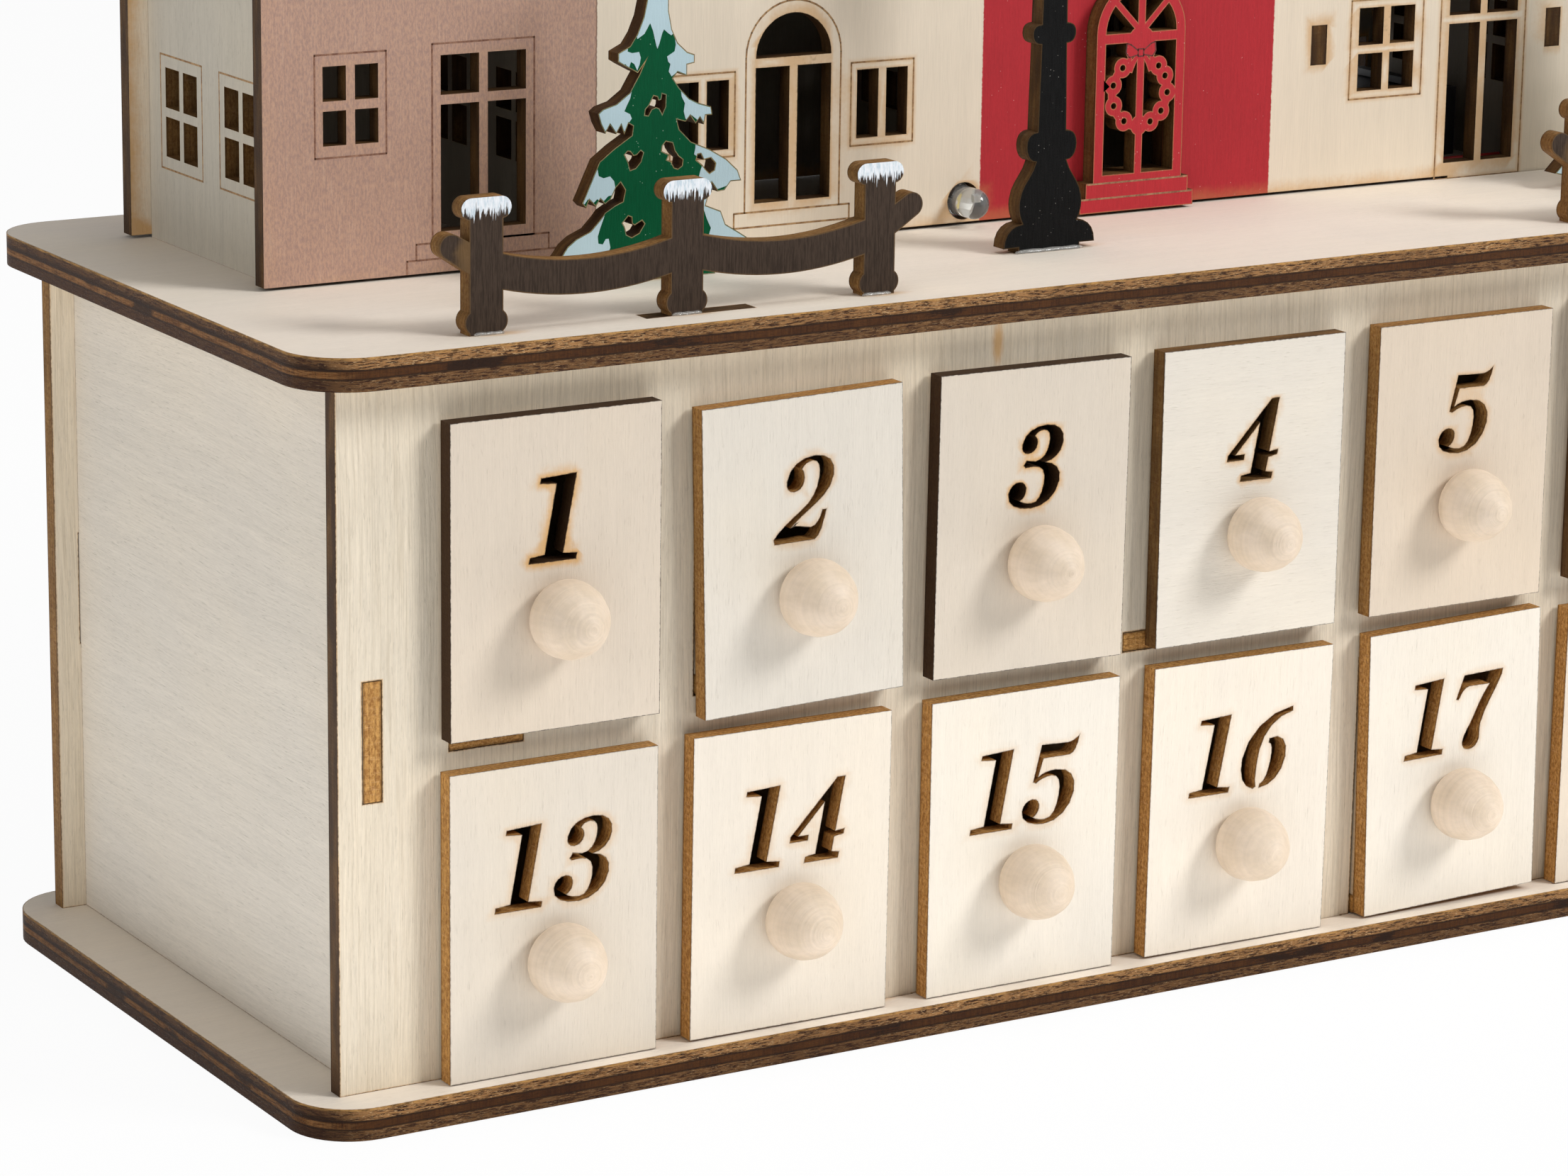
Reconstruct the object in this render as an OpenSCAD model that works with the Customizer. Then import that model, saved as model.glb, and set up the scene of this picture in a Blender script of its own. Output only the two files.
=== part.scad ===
// Wooden advent calendar: a chest with 24 numbered drawers and a street of houses on its lid.
// Thin plywood sheets, slotted and tabbed together. X runs along the front, Y to the back, Z up.
// The origin is in the middle of the underside.

/* [Sheets] */
// Thickness of the thin plywood
sheet_t = 3; // [2.5:0.1:3.4]
// Thickness of the base plate and the lid plate
deck_t = 5; // [4:0.5:7]
// Clearance on each side of a tab in its slot
slot_gap = 0.1; // [0.05:0.05:0.2]
// Gap between pieces that are glued edge to face
glue_gap = 0.05; // [0.03:0.01:0.08]

/* [Chest] */
// Distance from the front face to the rear face
chest_depth = 106.6; // [100:0.2:116]
// How far the base plate and the lid plate stand out all round
deck_overhang = 6.5; // [4:0.5:9]
// Corner radius of the base plate and the lid plate
deck_corner_r = 10; // [6:1:14]
// Distance between the middles of neighbouring drawers
column_pitch = 42; // [41.5:0.5:46]
// Front panel between its end and the first number plate
end_margin = 16.5; // [14:0.5:20]
// Clear height of the lower row
lower_bay_h = 51; // [49.5:0.5:56]
// Clear height of the upper row
upper_bay_h = 54; // [50:0.5:60]
// How far the end panels stand in from the ends of the front panel
side_inset = 4.2; // [3:0.2:6]

/* [Tabs] */
// Width of a shelf tab
shelf_tab_w = 12.2; // [8:0.2:16]
// Distance from the end of the front panel to the first shelf tab
shelf_tab_margin = 18.4; // [16:0.2:26]
// Height of the tab on the end panels
side_tab_h = 18.3; // [10:0.1:26]
// Width of the tabs that enter the lid plate
lid_tab_w = 18.5; // [12:0.5:26]
// Distance between the tabs that enter the lid plate
lid_tab_pitch = 204.5; // [190:0.1:215]
// Width of the tabs that enter the base plate
foot_tab_w = 6; // [4:0.5:8]
// How far the tabs end before the far face of a deck
tab_short = 0.4; // [0.2:0.1:1]

/* [Drawers] */
// Width of a drawer opening
opening_w = 32.6; // [30:0.2:34]
// Height of a drawer opening
opening_h = 44; // [40:0.5:46]
// Width of a number plate
plate_w = 35.2; // [34.6:0.2:37]
// Height of a number plate
plate_h = 48.1; // [47:0.1:50]
// Gap between the front panel and a number plate
plate_gap = 0.7; // [0.4:0.1:1.2]
// Lower plates: height above the base plate
lower_plate_rise = 0.4; // [0.2:0.1:0.8]
// Upper plates: how far they hang below the top of the shelf
upper_plate_drop = 2; // [1:0.1:2.4]
// Length of the drawer box behind its plate
tray_l = 92; // [78:1:94]
// Clearance round the drawer box
tray_play = 0.3; // [0.2:0.1:0.5]

/* [Knobs] */
// Largest radius of a knob
knob_r = 6; // [4.5:0.1:6.5]
// Radius of a knob where it meets the plate
knob_foot_r = 4.5; // [3:0.1:5]
// Distance from the plate to the widest place
knob_belly = 2.8; // [2:0.1:4]
// Length of a knob
knob_l = 10.8; // [7:0.1:12]
// Height of a knob's middle above the lower edge of its plate
knob_rise = 17.4; // [14:0.1:18.5]
// How far a knob stands right of the middle of its plate
knob_shift = 0.4; // [0:0.1:1]

/* [Numerals] */
// Height of a numeral
numeral_h = 13; // [10:0.5:14]
// Height of a numeral's foot above the lower edge of its plate
numeral_rise = 25.7; // [25:0.1:30]
// Distance between the middles of two digits
digit_pitch = 10; // [9.9:0.1:12]
// How far a single digit stands right of the middle of its plate
digit_shift = 0.5; // [0:0.1:1]

/* [Village] */
// Distance from the front of the chest to the front of the houses
village_setback = 43.8; // [38:0.2:48]
// Distance from the front of the houses to their rear
village_depth = 52; // [49:0.5:56]
// Gap between the lid plate and the lower edge of the house fronts
facade_lift = 0.5; // [0.2:0.1:0.7]
// Width of the brown houses
brown_w = 57; // [56:0.5:60]
// Width of the pale houses with an arched door
arched_w = 71.3; // [68:0.1:74]
// Width of the red houses
red_w = 58; // [56:0.5:62]
// Width of the pale houses with a tall window
plain_w = 69.1; // [66:0.1:72]
// Height of the eaves of the brown houses
brown_eaves = 78; // [74:1:86]
// Height of the eaves of the pale houses with an arched door
arched_eaves = 58; // [57:1:62]
// Height of the eaves of the red houses
red_eaves = 70; // [69:1:74]
// Height of the eaves of the pale houses with a tall window
plain_eaves = 50; // [48:1:58]
// Width of the tabs that hold the house fronts
village_tab_w = 62; // [30:1:66]
// Distance between the tabs that hold the house fronts
village_tab_pitch = 182; // [176:1:186]
// How far the inner walls stand in from the edge of their house
wall_inset = 3.5; // [3:0.1:4.5]
// Height of the wall tabs in the pale houses
wall_tab_h = 6.5; // [5:0.1:9]
// Height of the wall tabs' lower edge above the lid plate
wall_tab_rise = 21.7; // [18:0.1:30]
// How far the roofs stand out to the front
roof_front = 5; // [3:0.5:6]
// How far the roofs stand out to the rear
roof_rear = 3; // [2:0.5:6]
// How far the roofs of the tall houses stand out over their eaves
roof_side = 3; // [1:0.5:3]

/* [Windows] */
// Width of a glazing bar
bar_w = 1.5; // [1:0.1:1.8]
// Pane of the small window: width
small_pane_w = 3.9; // [3:0.1:4.5]
// Pane of the small window: height
small_pane_h = 5.3; // [4:0.1:6]
// Pane of the square window: width
square_pane_w = 5.1; // [4:0.1:5.6]
// Pane of the square window: height
square_pane_h = 6.3; // [5:0.1:7]
// Pane of the narrow window: width
narrow_pane_w = 4; // [3:0.1:4.6]
// Pane of the narrow window: height
narrow_pane_h = 11; // [8:0.2:11.6]
// Pane of the tall window: width
tall_pane_w = 6.6; // [5:0.1:7]
// Upper pane of the tall window: height
tall_top_h = 6.1; // [5:0.1:7]
// Lower pane of the tall window in the brown houses: height
brown_tall_h = 19.6; // [16:0.2:20]
// Lower pane of the tall window in the pale houses: height
plain_tall_h = 24; // [20:0.2:26]
// Half width of an arched opening
arch_r = 6.95; // [6:0.05:7.2]
// Height of the panes below the arch
arch_pane_h = 21.6; // [18:0.2:22]
// Height of the arched door's sill above the lid plate
arch_sill = 6.7; // [6:0.1:8]

/* [Street] */
// Width of a spruce tree
tree_w = 37.4; // [30:0.2:40]
// Height of a spruce tree
tree_h = 52; // [44:1:58]
// Distance from the front of the chest to the trees
tree_setback = 26; // [22:0.5:30]
// Distance from the middle to the outer trees
tree_spacing = 197.5; // [190:0.5:204]
// Distance between the posts of a fence
post_pitch = 33.5; // [30:0.5:36]
// Width of a fence post
post_w = 5.5; // [4.5:0.1:6]
// Height of a fence post
post_h = 20.3; // [18:0.1:23]
// Width of a fence post's cap
post_cap_w = 8.2; // [7.6:0.1:9]
// Height of a fence post's cap
post_cap_h = 3.3; // [2.5:0.1:4]
// Width of a fence post's foot
post_foot_w = 7; // [6.8:0.1:8]
// Height of a fence post's foot
post_foot_h = 3.8; // [3:0.1:4.5]
// Width of a fence rail
rail_w = 5.2; // [4:0.1:6]
// Height of a rail's middle at the posts
rail_rise = 9.9; // [8.4:0.1:11]
// How far a rail sags between two posts
rail_sag = 2.6; // [0.6:0.1:3.2]
// Length of a rail's free end, from its post
rail_end_l = 5.7; // [4:0.1:8]
// How far a rail's free end climbs
rail_end_rise = 3.5; // [2:0.1:4.5]
// Width of a rail at its free ends
rail_end_w = 3.8; // [3:0.1:5]
// Distance from the middle to the outer fences
fence_spacing = 207; // [200:0.5:215]
// How far the middle tree and fence stand left of the middle
middle_shift = 3.2; // [0:0.2:8]
// Width of a lamp post's foot
lamp_w = 17.2; // [14:0.2:19]
// Height of a lamp post
lamp_h = 77.5; // [70:0.5:84]
// Distance from the front of the chest to the lamp posts
lamp_setback = 18.5; // [14:0.5:20]

/* [Lights] */
// Radius of a light
led_r = 2.5; // [2:0.1:2.6]
// Radius of a light's rim
led_rim_r = 2.9; // [2.7:0.05:2.95]
// Height of a light's rim
led_rim_h = 1; // [0.6:0.1:1.5]
// Length of a light
led_l = 8.6; // [7:0.1:9.5]
// Radius of the hole that a light sits in
led_hole_r = 3.05; // [3:0.05:3.2]
// Height of a light above the lid plate
led_rise = 4; // [3.9:0.1:6]
// Distance from a light to the right edge of its house
led_inset = 3.1; // [3.1:0.1:6]
// Thickness of a light's legs
led_leg_w = 0.5; // [0.4:0.1:0.6]
// Distance between the two legs of a light
led_leg_pitch = 2.5; // [2:0.1:3]
// Radius of a lead
wire_r = 0.6; // [0.4:0.05:0.7]
// Distance from the house fronts to the leads
wire_setback = 3.4; // [3:0.1:3.8]
// Size of the notch that lets the leads pass a wall
wire_notch = 5; // [4.8:0.1:6]

/* [Battery box] */
// Width of the battery box
box_w = 41; // [38:0.5:44]
// Depth of the battery box
box_d = 27; // [25:0.5:30]
// Height of the battery box
box_h = 12; // [11.5:0.1:14]
// Wall of the battery box
box_wall = 1.5; // [1.2:0.1:1.6]
// Gap between the battery box and the walls beside it
box_side_gap = 3.05; // [2:0.05:5]
// Gap between the battery box and the rear of the houses' inside
box_gap = 1.8; // [1.5:0.1:3]
// Thickness of the sliding cover
cover_t = 1.5; // [1.2:0.1:1.8]
// How deep the cover's edges run in the side walls
groove_d = 0.8; // [0.5:0.1:1]
// Running clearance of the cover and the switch
box_play = 0.3; // [0.2:0.05:0.35]
// Clearance on each side of the battery box in the opening behind it
hatch_play = 1.75; // [1.5:0.05:3]
// Height of the opening behind the battery box
hatch_h = 17; // [15:0.5:20]
// Radius of a coin cell
cell_r = 10; // [8:0.1:10]
// Thickness of a coin cell
cell_t = 3.2; // [2.5:0.1:3.2]
// Width of the switch button
switch_w = 4; // [3:0.1:5]
// Height of the switch button
switch_h = 3; // [2:0.1:3.5]
// Travel of the switch button
switch_travel = 3; // [2:0.1:3]
// How far the switch button stands out
switch_out = 1.3; // [0.8:0.1:1.4]
// Thickness of a contact strip
contact_t = 0.3; // [0.2:0.05:0.4]
// Width of a contact strip
contact_w = 3; // [2:0.1:4]

/* [Hidden] */
$fn = 48;
columns = 12;
drawer_count = 2 * columns;
// Cuts run this far past the faces that they open
overrun = 1;

// Shares of a digit's height, upright, from its middle line and its foot.
// Two numbers are the end of a line, six are the control points and the end of a curve.
// A figure that encloses something is cut in two halves, and what is between them is its bridge.
one_shares = [[
    [0.31, 0], [0.31, 0.065], [0.12, 0.085], [0.12, 1], [-0.34, 0.975],
    [-0.34, 0.92], [-0.12, 0.9], [-0.12, 0.085], [-0.31, 0.065], [-0.31, 0]]];
two_shares = [[
    [-0.08, 0.64, -0.13, 0.6, -0.2, 0.6],
    [-0.27, 0.6, -0.32, 0.65, -0.32, 0.73],
    [-0.32, 0.9, -0.18, 1, 0.02, 1],
    [0.21, 1, 0.33, 0.9, 0.33, 0.74],
    [0.33, 0.56, 0.17, 0.45, 0.02, 0.34],
    [-0.07, 0.27, -0.13, 0.22, -0.17, 0.17],
    [-0.1, 0.22, 0.02, 0.15, 0.12, 0.15],
    [0.2, 0.15, 0.24, 0.25, 0.25, 0.34],
    [0.3, 0.34],
    [0.29, 0.2, 0.27, 0.02, 0.2, 0],
    [-0.36, 0], [-0.38, 0.06],
    [-0.33, 0.15, -0.2, 0.26, -0.06, 0.36],
    [0.08, 0.46, 0.13, 0.58, 0.13, 0.73],
    [0.13, 0.86, 0.09, 0.945, 0, 0.945],
    [-0.07, 0.945, -0.11, 0.91, -0.14, 0.86],
    [-0.1, 0.83, -0.08, 0.77, -0.08, 0.71]]];
three_shares = [[
    [-0.06, 0.71, -0.11, 0.67, -0.17, 0.67],
    [-0.24, 0.67, -0.28, 0.72, -0.28, 0.79],
    [-0.28, 0.93, -0.13, 1, 0.03, 1],
    [0.21, 1, 0.32, 0.91, 0.32, 0.77],
    [0.32, 0.64, 0.23, 0.56, 0.1, 0.545],
    [0.26, 0.53, 0.37, 0.45, 0.37, 0.3],
    [0.37, 0.12, 0.21, 0, 0.02, 0],
    [-0.18, 0, -0.35, 0.06, -0.35, 0.2],
    [-0.35, 0.28, -0.29, 0.33, -0.22, 0.33],
    [-0.15, 0.33, -0.1, 0.28, -0.1, 0.21],
    [-0.1, 0.15, -0.13, 0.12, -0.17, 0.1],
    [-0.12, 0.07, -0.05, 0.055, 0.02, 0.055],
    [0.12, 0.055, 0.15, 0.15, 0.15, 0.29],
    [0.15, 0.43, 0.08, 0.51, -0.05, 0.51],
    [-0.17, 0.5], [-0.2, 0.53], [-0.17, 0.585], [-0.04, 0.565],
    [0.07, 0.575, 0.12, 0.65, 0.12, 0.77],
    [0.12, 0.88, 0.08, 0.945, 0, 0.945],
    [-0.06, 0.945, -0.1, 0.92, -0.12, 0.88],
    [-0.08, 0.85, -0.06, 0.82, -0.06, 0.775]]];
four_shares = [[
    [0.14, 1], [-0.385, 0.34], [-0.385, 0.27], [-0.13, 0.27], [-0.13, 0.335], [-0.28, 0.335],
    [0.02, 0.72], [0.02, 0.09], [-0.12, 0.07], [-0.12, 0], [0.36, 0], [0.36, 0.07],
    [0.25, 0.09], [0.25, 0.27], [0.38, 0.29], [0.38, 0.35], [0.25, 0.335], [0.25, 1]]];
five_shares = [[
    [-0.25, 1], [0.14, 0.985],
    [0.2, 0.985, 0.27, 1.02, 0.3, 1.06],
    [0.3, 0.93, 0.27, 0.84, 0.2, 0.83],
    [-0.19, 0.83], [-0.22, 0.6],
    [-0.15, 0.65, -0.06, 0.665, 0.03, 0.665],
    [0.25, 0.665, 0.37, 0.54, 0.37, 0.36],
    [0.37, 0.14, 0.2, 0, 0, 0],
    [-0.2, 0, -0.37, 0.07, -0.37, 0.2],
    [-0.37, 0.28, -0.31, 0.33, -0.24, 0.33],
    [-0.17, 0.33, -0.12, 0.28, -0.12, 0.21],
    [-0.12, 0.15, -0.15, 0.12, -0.19, 0.1],
    [-0.14, 0.07, -0.07, 0.055, 0, 0.055],
    [0.12, 0.055, 0.15, 0.18, 0.15, 0.33],
    [0.15, 0.5, 0.1, 0.6, -0.02, 0.6],
    [-0.11, 0.6, -0.19, 0.56, -0.235, 0.53],
    [-0.28, 0.545]]];
six_shares = [[
    [0.3, 1], [0.31, 0.94],
    [0.05, 0.9, -0.09, 0.72, -0.11, 0.5],
    [-0.12, 0.3, -0.1, 0.1, -0.06, 0.02],
    [-0.1, 0],
    [-0.27, 0.03, -0.36, 0.2, -0.36, 0.4],
    [-0.36, 0.68, -0.1, 0.97, 0.3, 1]], [
    [0.02, 0.62],
    [0.2, 0.68, 0.33, 0.55, 0.33, 0.36],
    [0.33, 0.13, 0.18, 0, 0, 0],
    [0, 0.045],
    [0.08, 0.06, 0.1, 0.2, 0.1, 0.34],
    [0.1, 0.47, 0.08, 0.56, 0.02, 0.57]]];
seven_shares = [[
    [-0.33, 0.99], [-0.4, 0.69], [-0.36, 0.68],
    [-0.33, 0.77, -0.29, 0.83, -0.22, 0.84],
    [0.12, 0.83],
    [0.05, 0.72, -0.02, 0.56, -0.06, 0.42],
    [-0.1, 0.3, -0.17, 0.22, -0.17, 0.12],
    [-0.17, 0.04, -0.11, 0, -0.04, 0],
    [0.04, 0, 0.1, 0.05, 0.1, 0.12],
    [0.1, 0.2, 0.07, 0.25, 0.08, 0.32],
    [0.1, 0.52, 0.24, 0.72, 0.3, 0.93],
    [0.3, 1]]];
half_eight_shares = [
    [-0.16, 1, -0.27, 0.91, -0.27, 0.77],
    [-0.27, 0.66, -0.25, 0.6, -0.2, 0.54],
    [-0.28, 0.48, -0.33, 0.4, -0.33, 0.27],
    [-0.33, 0.1, -0.2, 0, -0.035, 0],
    [-0.035, 0.055],
    [-0.1, 0.07, -0.13, 0.15, -0.13, 0.27],
    [-0.13, 0.38, -0.1, 0.45, -0.035, 0.49],
    [-0.035, 0.56],
    [-0.09, 0.6, -0.11, 0.67, -0.11, 0.76],
    [-0.11, 0.87, -0.09, 0.93, -0.035, 0.945],
    [-0.035, 1]];
half_zero_shares = [
    [-0.2, 0.97, -0.31, 0.76, -0.31, 0.5],
    [-0.31, 0.24, -0.2, 0.03, -0.05, 0.01],
    [-0.05, 0.06],
    [-0.1, 0.12, -0.11, 0.3, -0.11, 0.5],
    [-0.11, 0.7, -0.1, 0.88, -0.05, 0.94],
    [-0.05, 0.99]];
// How far a digit leans, how narrow it is drawn, and how much closer the two digits of an eleven stand
lean_share = 0.19;
narrow_share = 0.97;
eleven_share = 0.89;

// How the plates were glued on: how far to the right and up, and how many degrees they are turned to
// the left, for the first five columns of the upper row and of the lower row. The next columns repeat them.
plate_seats = [
    [[0.2, 1.2, 0], [0.8, -0.6, 1.4], [0.2, -0.1, -0.4], [-0.1, -0.2, 0], [0.1, -0.1, 0]],
    [[0, -0.25, 0], [-0.7, -0.15, -0.3], [0, -0.25, 0], [-0.2, -0.15, -0.4], [1.2, 0.4, 1.3]]];

// Half outline of a lamp post, in shares of its foot's width and of its height
lamp_shares = [
    [0.337, 0], [0.337, 0.012], [0.5, 0.012],
    [0.5, 0.041, 0.424, 0.059, 0.302, 0.061],
    [0.331, 0.072, 0.355, 0.09, 0.343, 0.107],
    [0.326, 0.142, 0.209, 0.155, 0.169, 0.186],
    [0.233, 0.186, 0.276, 0.201, 0.276, 0.219],
    [0.276, 0.237, 0.233, 0.248, 0.157, 0.248],
    [0.14, 0.426],
    [0.209, 0.426, 0.238, 0.436, 0.238, 0.448],
    [0.238, 0.461, 0.203, 0.468, 0.14, 0.468],
    [0.122, 0.671], [0.314, 0.675], [0.314, 0.693], [0.209, 0.697],
    [0.36, 0.877], [0.43, 0.877], [0.43, 0.895],
    [0.349, 0.906, 0.203, 0.923, 0.093, 0.957],
    [0.14, 0.968, 0.093, 1, 0, 1]];
lantern_pane_shares = [[0.15, 0.728], [0.035, 0.728], [0.035, 0.854], [0.256, 0.854]];
lamp_tenon_share = 0.337;

// Outline of a spruce tree, in shares of its width and height, up its left side and down its right
tree_shares = [
    [-0.203, 0], [-0.203, 0.019], [-0.283, 0.038], [-0.358, 0.06], [-0.439, 0.046], [-0.5, 0.056],
    [-0.447, 0.092], [-0.417, 0.121], [-0.377, 0.142], [-0.31, 0.162], [-0.265, 0.194],
    [-0.243, 0.213], [-0.198, 0.231], [-0.16, 0.242], [-0.15, 0.275], [-0.171, 0.298],
    [-0.193, 0.283], [-0.217, 0.25], [-0.243, 0.238], [-0.265, 0.254], [-0.286, 0.233],
    [-0.316, 0.254], [-0.33, 0.231], [-0.35, 0.246], [-0.337, 0.265], [-0.305, 0.313],
    [-0.27, 0.365], [-0.198, 0.402], [-0.12, 0.435], [-0.115, 0.462], [-0.136, 0.471],
    [-0.155, 0.438], [-0.171, 0.467], [-0.193, 0.442], [-0.222, 0.471], [-0.243, 0.446],
    [-0.265, 0.475], [-0.278, 0.506], [-0.254, 0.519], [-0.193, 0.531], [-0.131, 0.562],
    [-0.088, 0.612], [-0.07, 0.638], [-0.094, 0.617], [-0.16, 0.642], [-0.187, 0.654],
    [-0.187, 0.679], [-0.131, 0.698], [-0.099, 0.731], [-0.07, 0.779], [-0.056, 0.823],
    [-0.045, 0.862], [-0.027, 0.929], [-0.005, 1], [0.005, 1], [0.027, 0.929], [0.043, 0.862],
    [0.048, 0.823], [0.048, 0.794], [0.064, 0.738], [0.091, 0.698], [0.136, 0.669],
    [0.171, 0.66], [0.171, 0.635], [0.136, 0.631], [0.136, 0.598], [0.091, 0.611], [0.07, 0.594],
    [0.102, 0.563], [0.147, 0.531], [0.191, 0.515], [0.251, 0.502], [0.257, 0.477],
    [0.225, 0.477], [0.217, 0.45], [0.198, 0.471], [0.179, 0.454], [0.152, 0.479], [0.131, 0.462],
    [0.091, 0.471], [0.102, 0.442], [0.158, 0.402], [0.246, 0.375], [0.325, 0.342], [0.38, 0.306],
    [0.398, 0.273], [0.348, 0.273], [0.318, 0.248], [0.286, 0.246], [0.258, 0.273], [0.23, 0.208],
    [0.302, 0.187], [0.325, 0.146], [0.392, 0.117], [0.425, 0.102], [0.497, 0.054],
    [0.412, 0.044], [0.337, 0.058], [0.278, 0.027], [0.278, 0]];
// Openings between a tree's branches, in the same shares
tree_hole_shares = [
    [[-0.059, 0.492], [-0.056, 0.508], [-0.04, 0.519], [-0.019, 0.546], [-0.003, 0.542],
     [0.003, 0.531], [0.016, 0.533], [0.021, 0.55], [0.037, 0.546], [0.035, 0.512],
     [0.021, 0.492], [0.008, 0.508], [-0.008, 0.513], [-0.029, 0.508], [-0.045, 0.49]],
    [[-0.152, 0.379], [-0.139, 0.388], [-0.128, 0.387], [-0.112, 0.373], [-0.096, 0.375],
     [-0.078, 0.387], [-0.067, 0.381], [-0.078, 0.356], [-0.102, 0.337], [-0.126, 0.333],
     [-0.136, 0.358]],
    [[0.021, 0.381], [0.024, 0.396], [0.04, 0.408], [0.07, 0.402], [0.08, 0.379],
     [0.096, 0.363], [0.118, 0.35], [0.115, 0.333], [0.096, 0.325], [0.08, 0.329],
     [0.064, 0.348], [0.045, 0.354], [0.056, 0.369], [0.037, 0.375]],
    [[0.184, 0.346], [0.19, 0.362], [0.203, 0.363], [0.217, 0.344], [0.251, 0.348],
     [0.273, 0.331], [0.267, 0.312], [0.246, 0.304], [0.227, 0.317], [0.211, 0.331]],
    [[-0.16, 0.177], [-0.134, 0.196], [-0.12, 0.192], [-0.118, 0.173], [-0.104, 0.167],
     [-0.07, 0.179], [-0.059, 0.169], [-0.083, 0.144], [-0.118, 0.133], [-0.142, 0.142],
     [-0.15, 0.165]]];

// Bow of the wreath: one loop and one tail, in shares of the wreath's radius
bow_loop_shares = [[0, 1.26], [0.1, 1.32], [0.36, 1.48], [0.53, 1.52], [0.55, 1.2], [0.45, 1], [0, 1.16]];
bow_tail_shares = [[0, 1.16], [0.16, 1.18], [0.44, 0.86], [0.5, 0.66], [0.3, 0.58], [0.2, 0.82]];

// Sizes of the arched door surround on the red houses
surround_rim = 1.85;
transom_h = 1.7;
fan_bar_w = 1.15;
fan_hub_r = 1.9;
wreath_r = 5.5;
berry_r = 1.7;
berry_hole_r = 0.5;
// Places of the berries round the wreath
berry_angles = [49, 26, -4, -38, -66, -90, -123, -159, -195, -230];
step_h = 2.5;
upper_step_w = 20.4;
lower_step_w = 22.6;

// Places of the windows above the lid plate, and of their middles from the left edge of a house
small_window_x = 14.7;
small_window_z = 27.45;
brown_tall_x = 37.3;
brown_tall_z = 6.8;
narrow_window_x = 16.6;
narrow_window_z = 21.3;
square_window_x = 23.7;
square_window_z = 23.6;
plain_tall_x = 44.4;
plain_tall_z = 2.8;
wall_window_x = 10.9;
wall_window_z = 21;
upper_window_z = 56;
upper_narrow_z = 51;
gable_window_z = 80;
arched_gable_z = 68;
upper_red_x = 14;
plain_gable_x = 9;

// Derived sizes of the chest
panel_w = columns * column_pitch - (column_pitch - plate_w) + 2 * end_margin;
front_reach = max(plate_gap + sheet_t + glue_gap + knob_l, deck_overhang);
front_y = (front_reach - chest_depth - deck_overhang) / 2;
rear_y = front_y + chest_depth;
inner_front_y = front_y + sheet_t;
inner_rear_y = rear_y - sheet_t;
middle_y = (front_y + rear_y) / 2;
shelf_z = deck_t + lower_bay_h;
upper_z = shelf_z + sheet_t;
lid_z = upper_z + upper_bay_h;
top_z = lid_z + deck_t;
inner_x = panel_w / 2 - side_inset - sheet_t;
tab_depth = deck_t - tab_short;
shelf_tab_count = 5;
shelf_tab_last = panel_w / 2 - shelf_tab_margin - shelf_tab_w / 2;
shelf_tab_x = [for (i = [0 : shelf_tab_count - 1])
    shelf_tab_last * (2 * i / (shelf_tab_count - 1) - 1)];
lid_tab_x = [-lid_tab_pitch, 0, lid_tab_pitch];
foot_tab_x = [for (i = [2, 4, 8, 10]) (i - columns / 2) * column_pitch];
side_tab_z = (deck_t + lid_z - side_tab_h) / 2;

// Derived sizes of a drawer
tray_w = opening_w - 2 * tray_play;
tray_h = opening_h - 2 * tray_play;
plate_rear_y = front_y - plate_gap;
plate_front_y = plate_rear_y - sheet_t;
tray_front_y = plate_rear_y + glue_gap;
tray_rear_y = plate_rear_y + tray_l;
bottom_fingers = 7;
corner_fingers = 5;

// Derived sizes of the village
kinds = ["brown", "arched", "red", "plain"];
kind_w = [brown_w, arched_w, red_w, plain_w];
house_count = 2 * len(kinds);
// The pale houses with a tall window hold the battery box between their walls
plain_wall_inset = (plain_w - box_w) / 2 - sheet_t - box_side_gap;
hatch_w = box_w + 2 * hatch_play;
kind_eaves = [brown_eaves, arched_eaves, red_eaves, plain_eaves];
kind_pitch = [45, 40, 50, 40];
kind_inset = [wall_inset, 0, wall_inset, plain_wall_inset];
village_w = 2 * (brown_w + arched_w + red_w + plain_w);
village_front_y = front_y + village_setback;
village_inner_y = village_front_y + sheet_t;
village_rear_y = village_front_y + village_depth - sheet_t;
village_tab_x = [-village_tab_pitch, 0, village_tab_pitch];
village_rear_tab_x = [-village_tab_pitch, village_tab_pitch];
led_houses = houses_of("arched");
wire_y = village_inner_y + wire_setback;
low_wire_z = top_z + wire_r + glue_gap;
high_wire_z = low_wire_z + 2 * wire_r + glue_gap;
box_house = houses_of("plain")[0];

function kind(k) = k % len(kinds);
function is_kind(k, name) = kinds[kind(k)] == name;
function houses_of(name) = [for (k = [0 : house_count - 1]) if (is_kind(k, name)) k];
function house_left(k) = -village_w / 2 + (k == 0 ? 0 : house_run(k - 1));
function house_run(k) = kind_w[kind(k)] + (k == 0 ? 0 : house_run(k - 1));
function house_w(k) = kind_w[kind(k)];
function house_middle(k) = house_left(k) + house_w(k) / 2;
function eaves_z(k) = top_z + kind_eaves[kind(k)];
function ridge_z(k) = eaves_z(k) + house_w(k) / 2 * tan(kind_pitch[kind(k)]);
function led_x(k) = house_left(k) + house_w(k) - led_inset;

// Left faces of the walls inside the houses, with the kind of house that each belongs to
wall_places = [for (k = [0 : house_count - 1]) if (!is_kind(k, "arched"))
    each [[house_left(k) + kind_inset[kind(k)], k],
          [house_left(k) + house_w(k) - kind_inset[kind(k)] - sheet_t, k]]];
end_wall_places = [-village_w / 2 + wall_inset, village_w / 2 - wall_inset - sheet_t];
inner_wall_places = [for (i = [1 : len(wall_places) - 2]) wall_places[i]];

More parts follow.
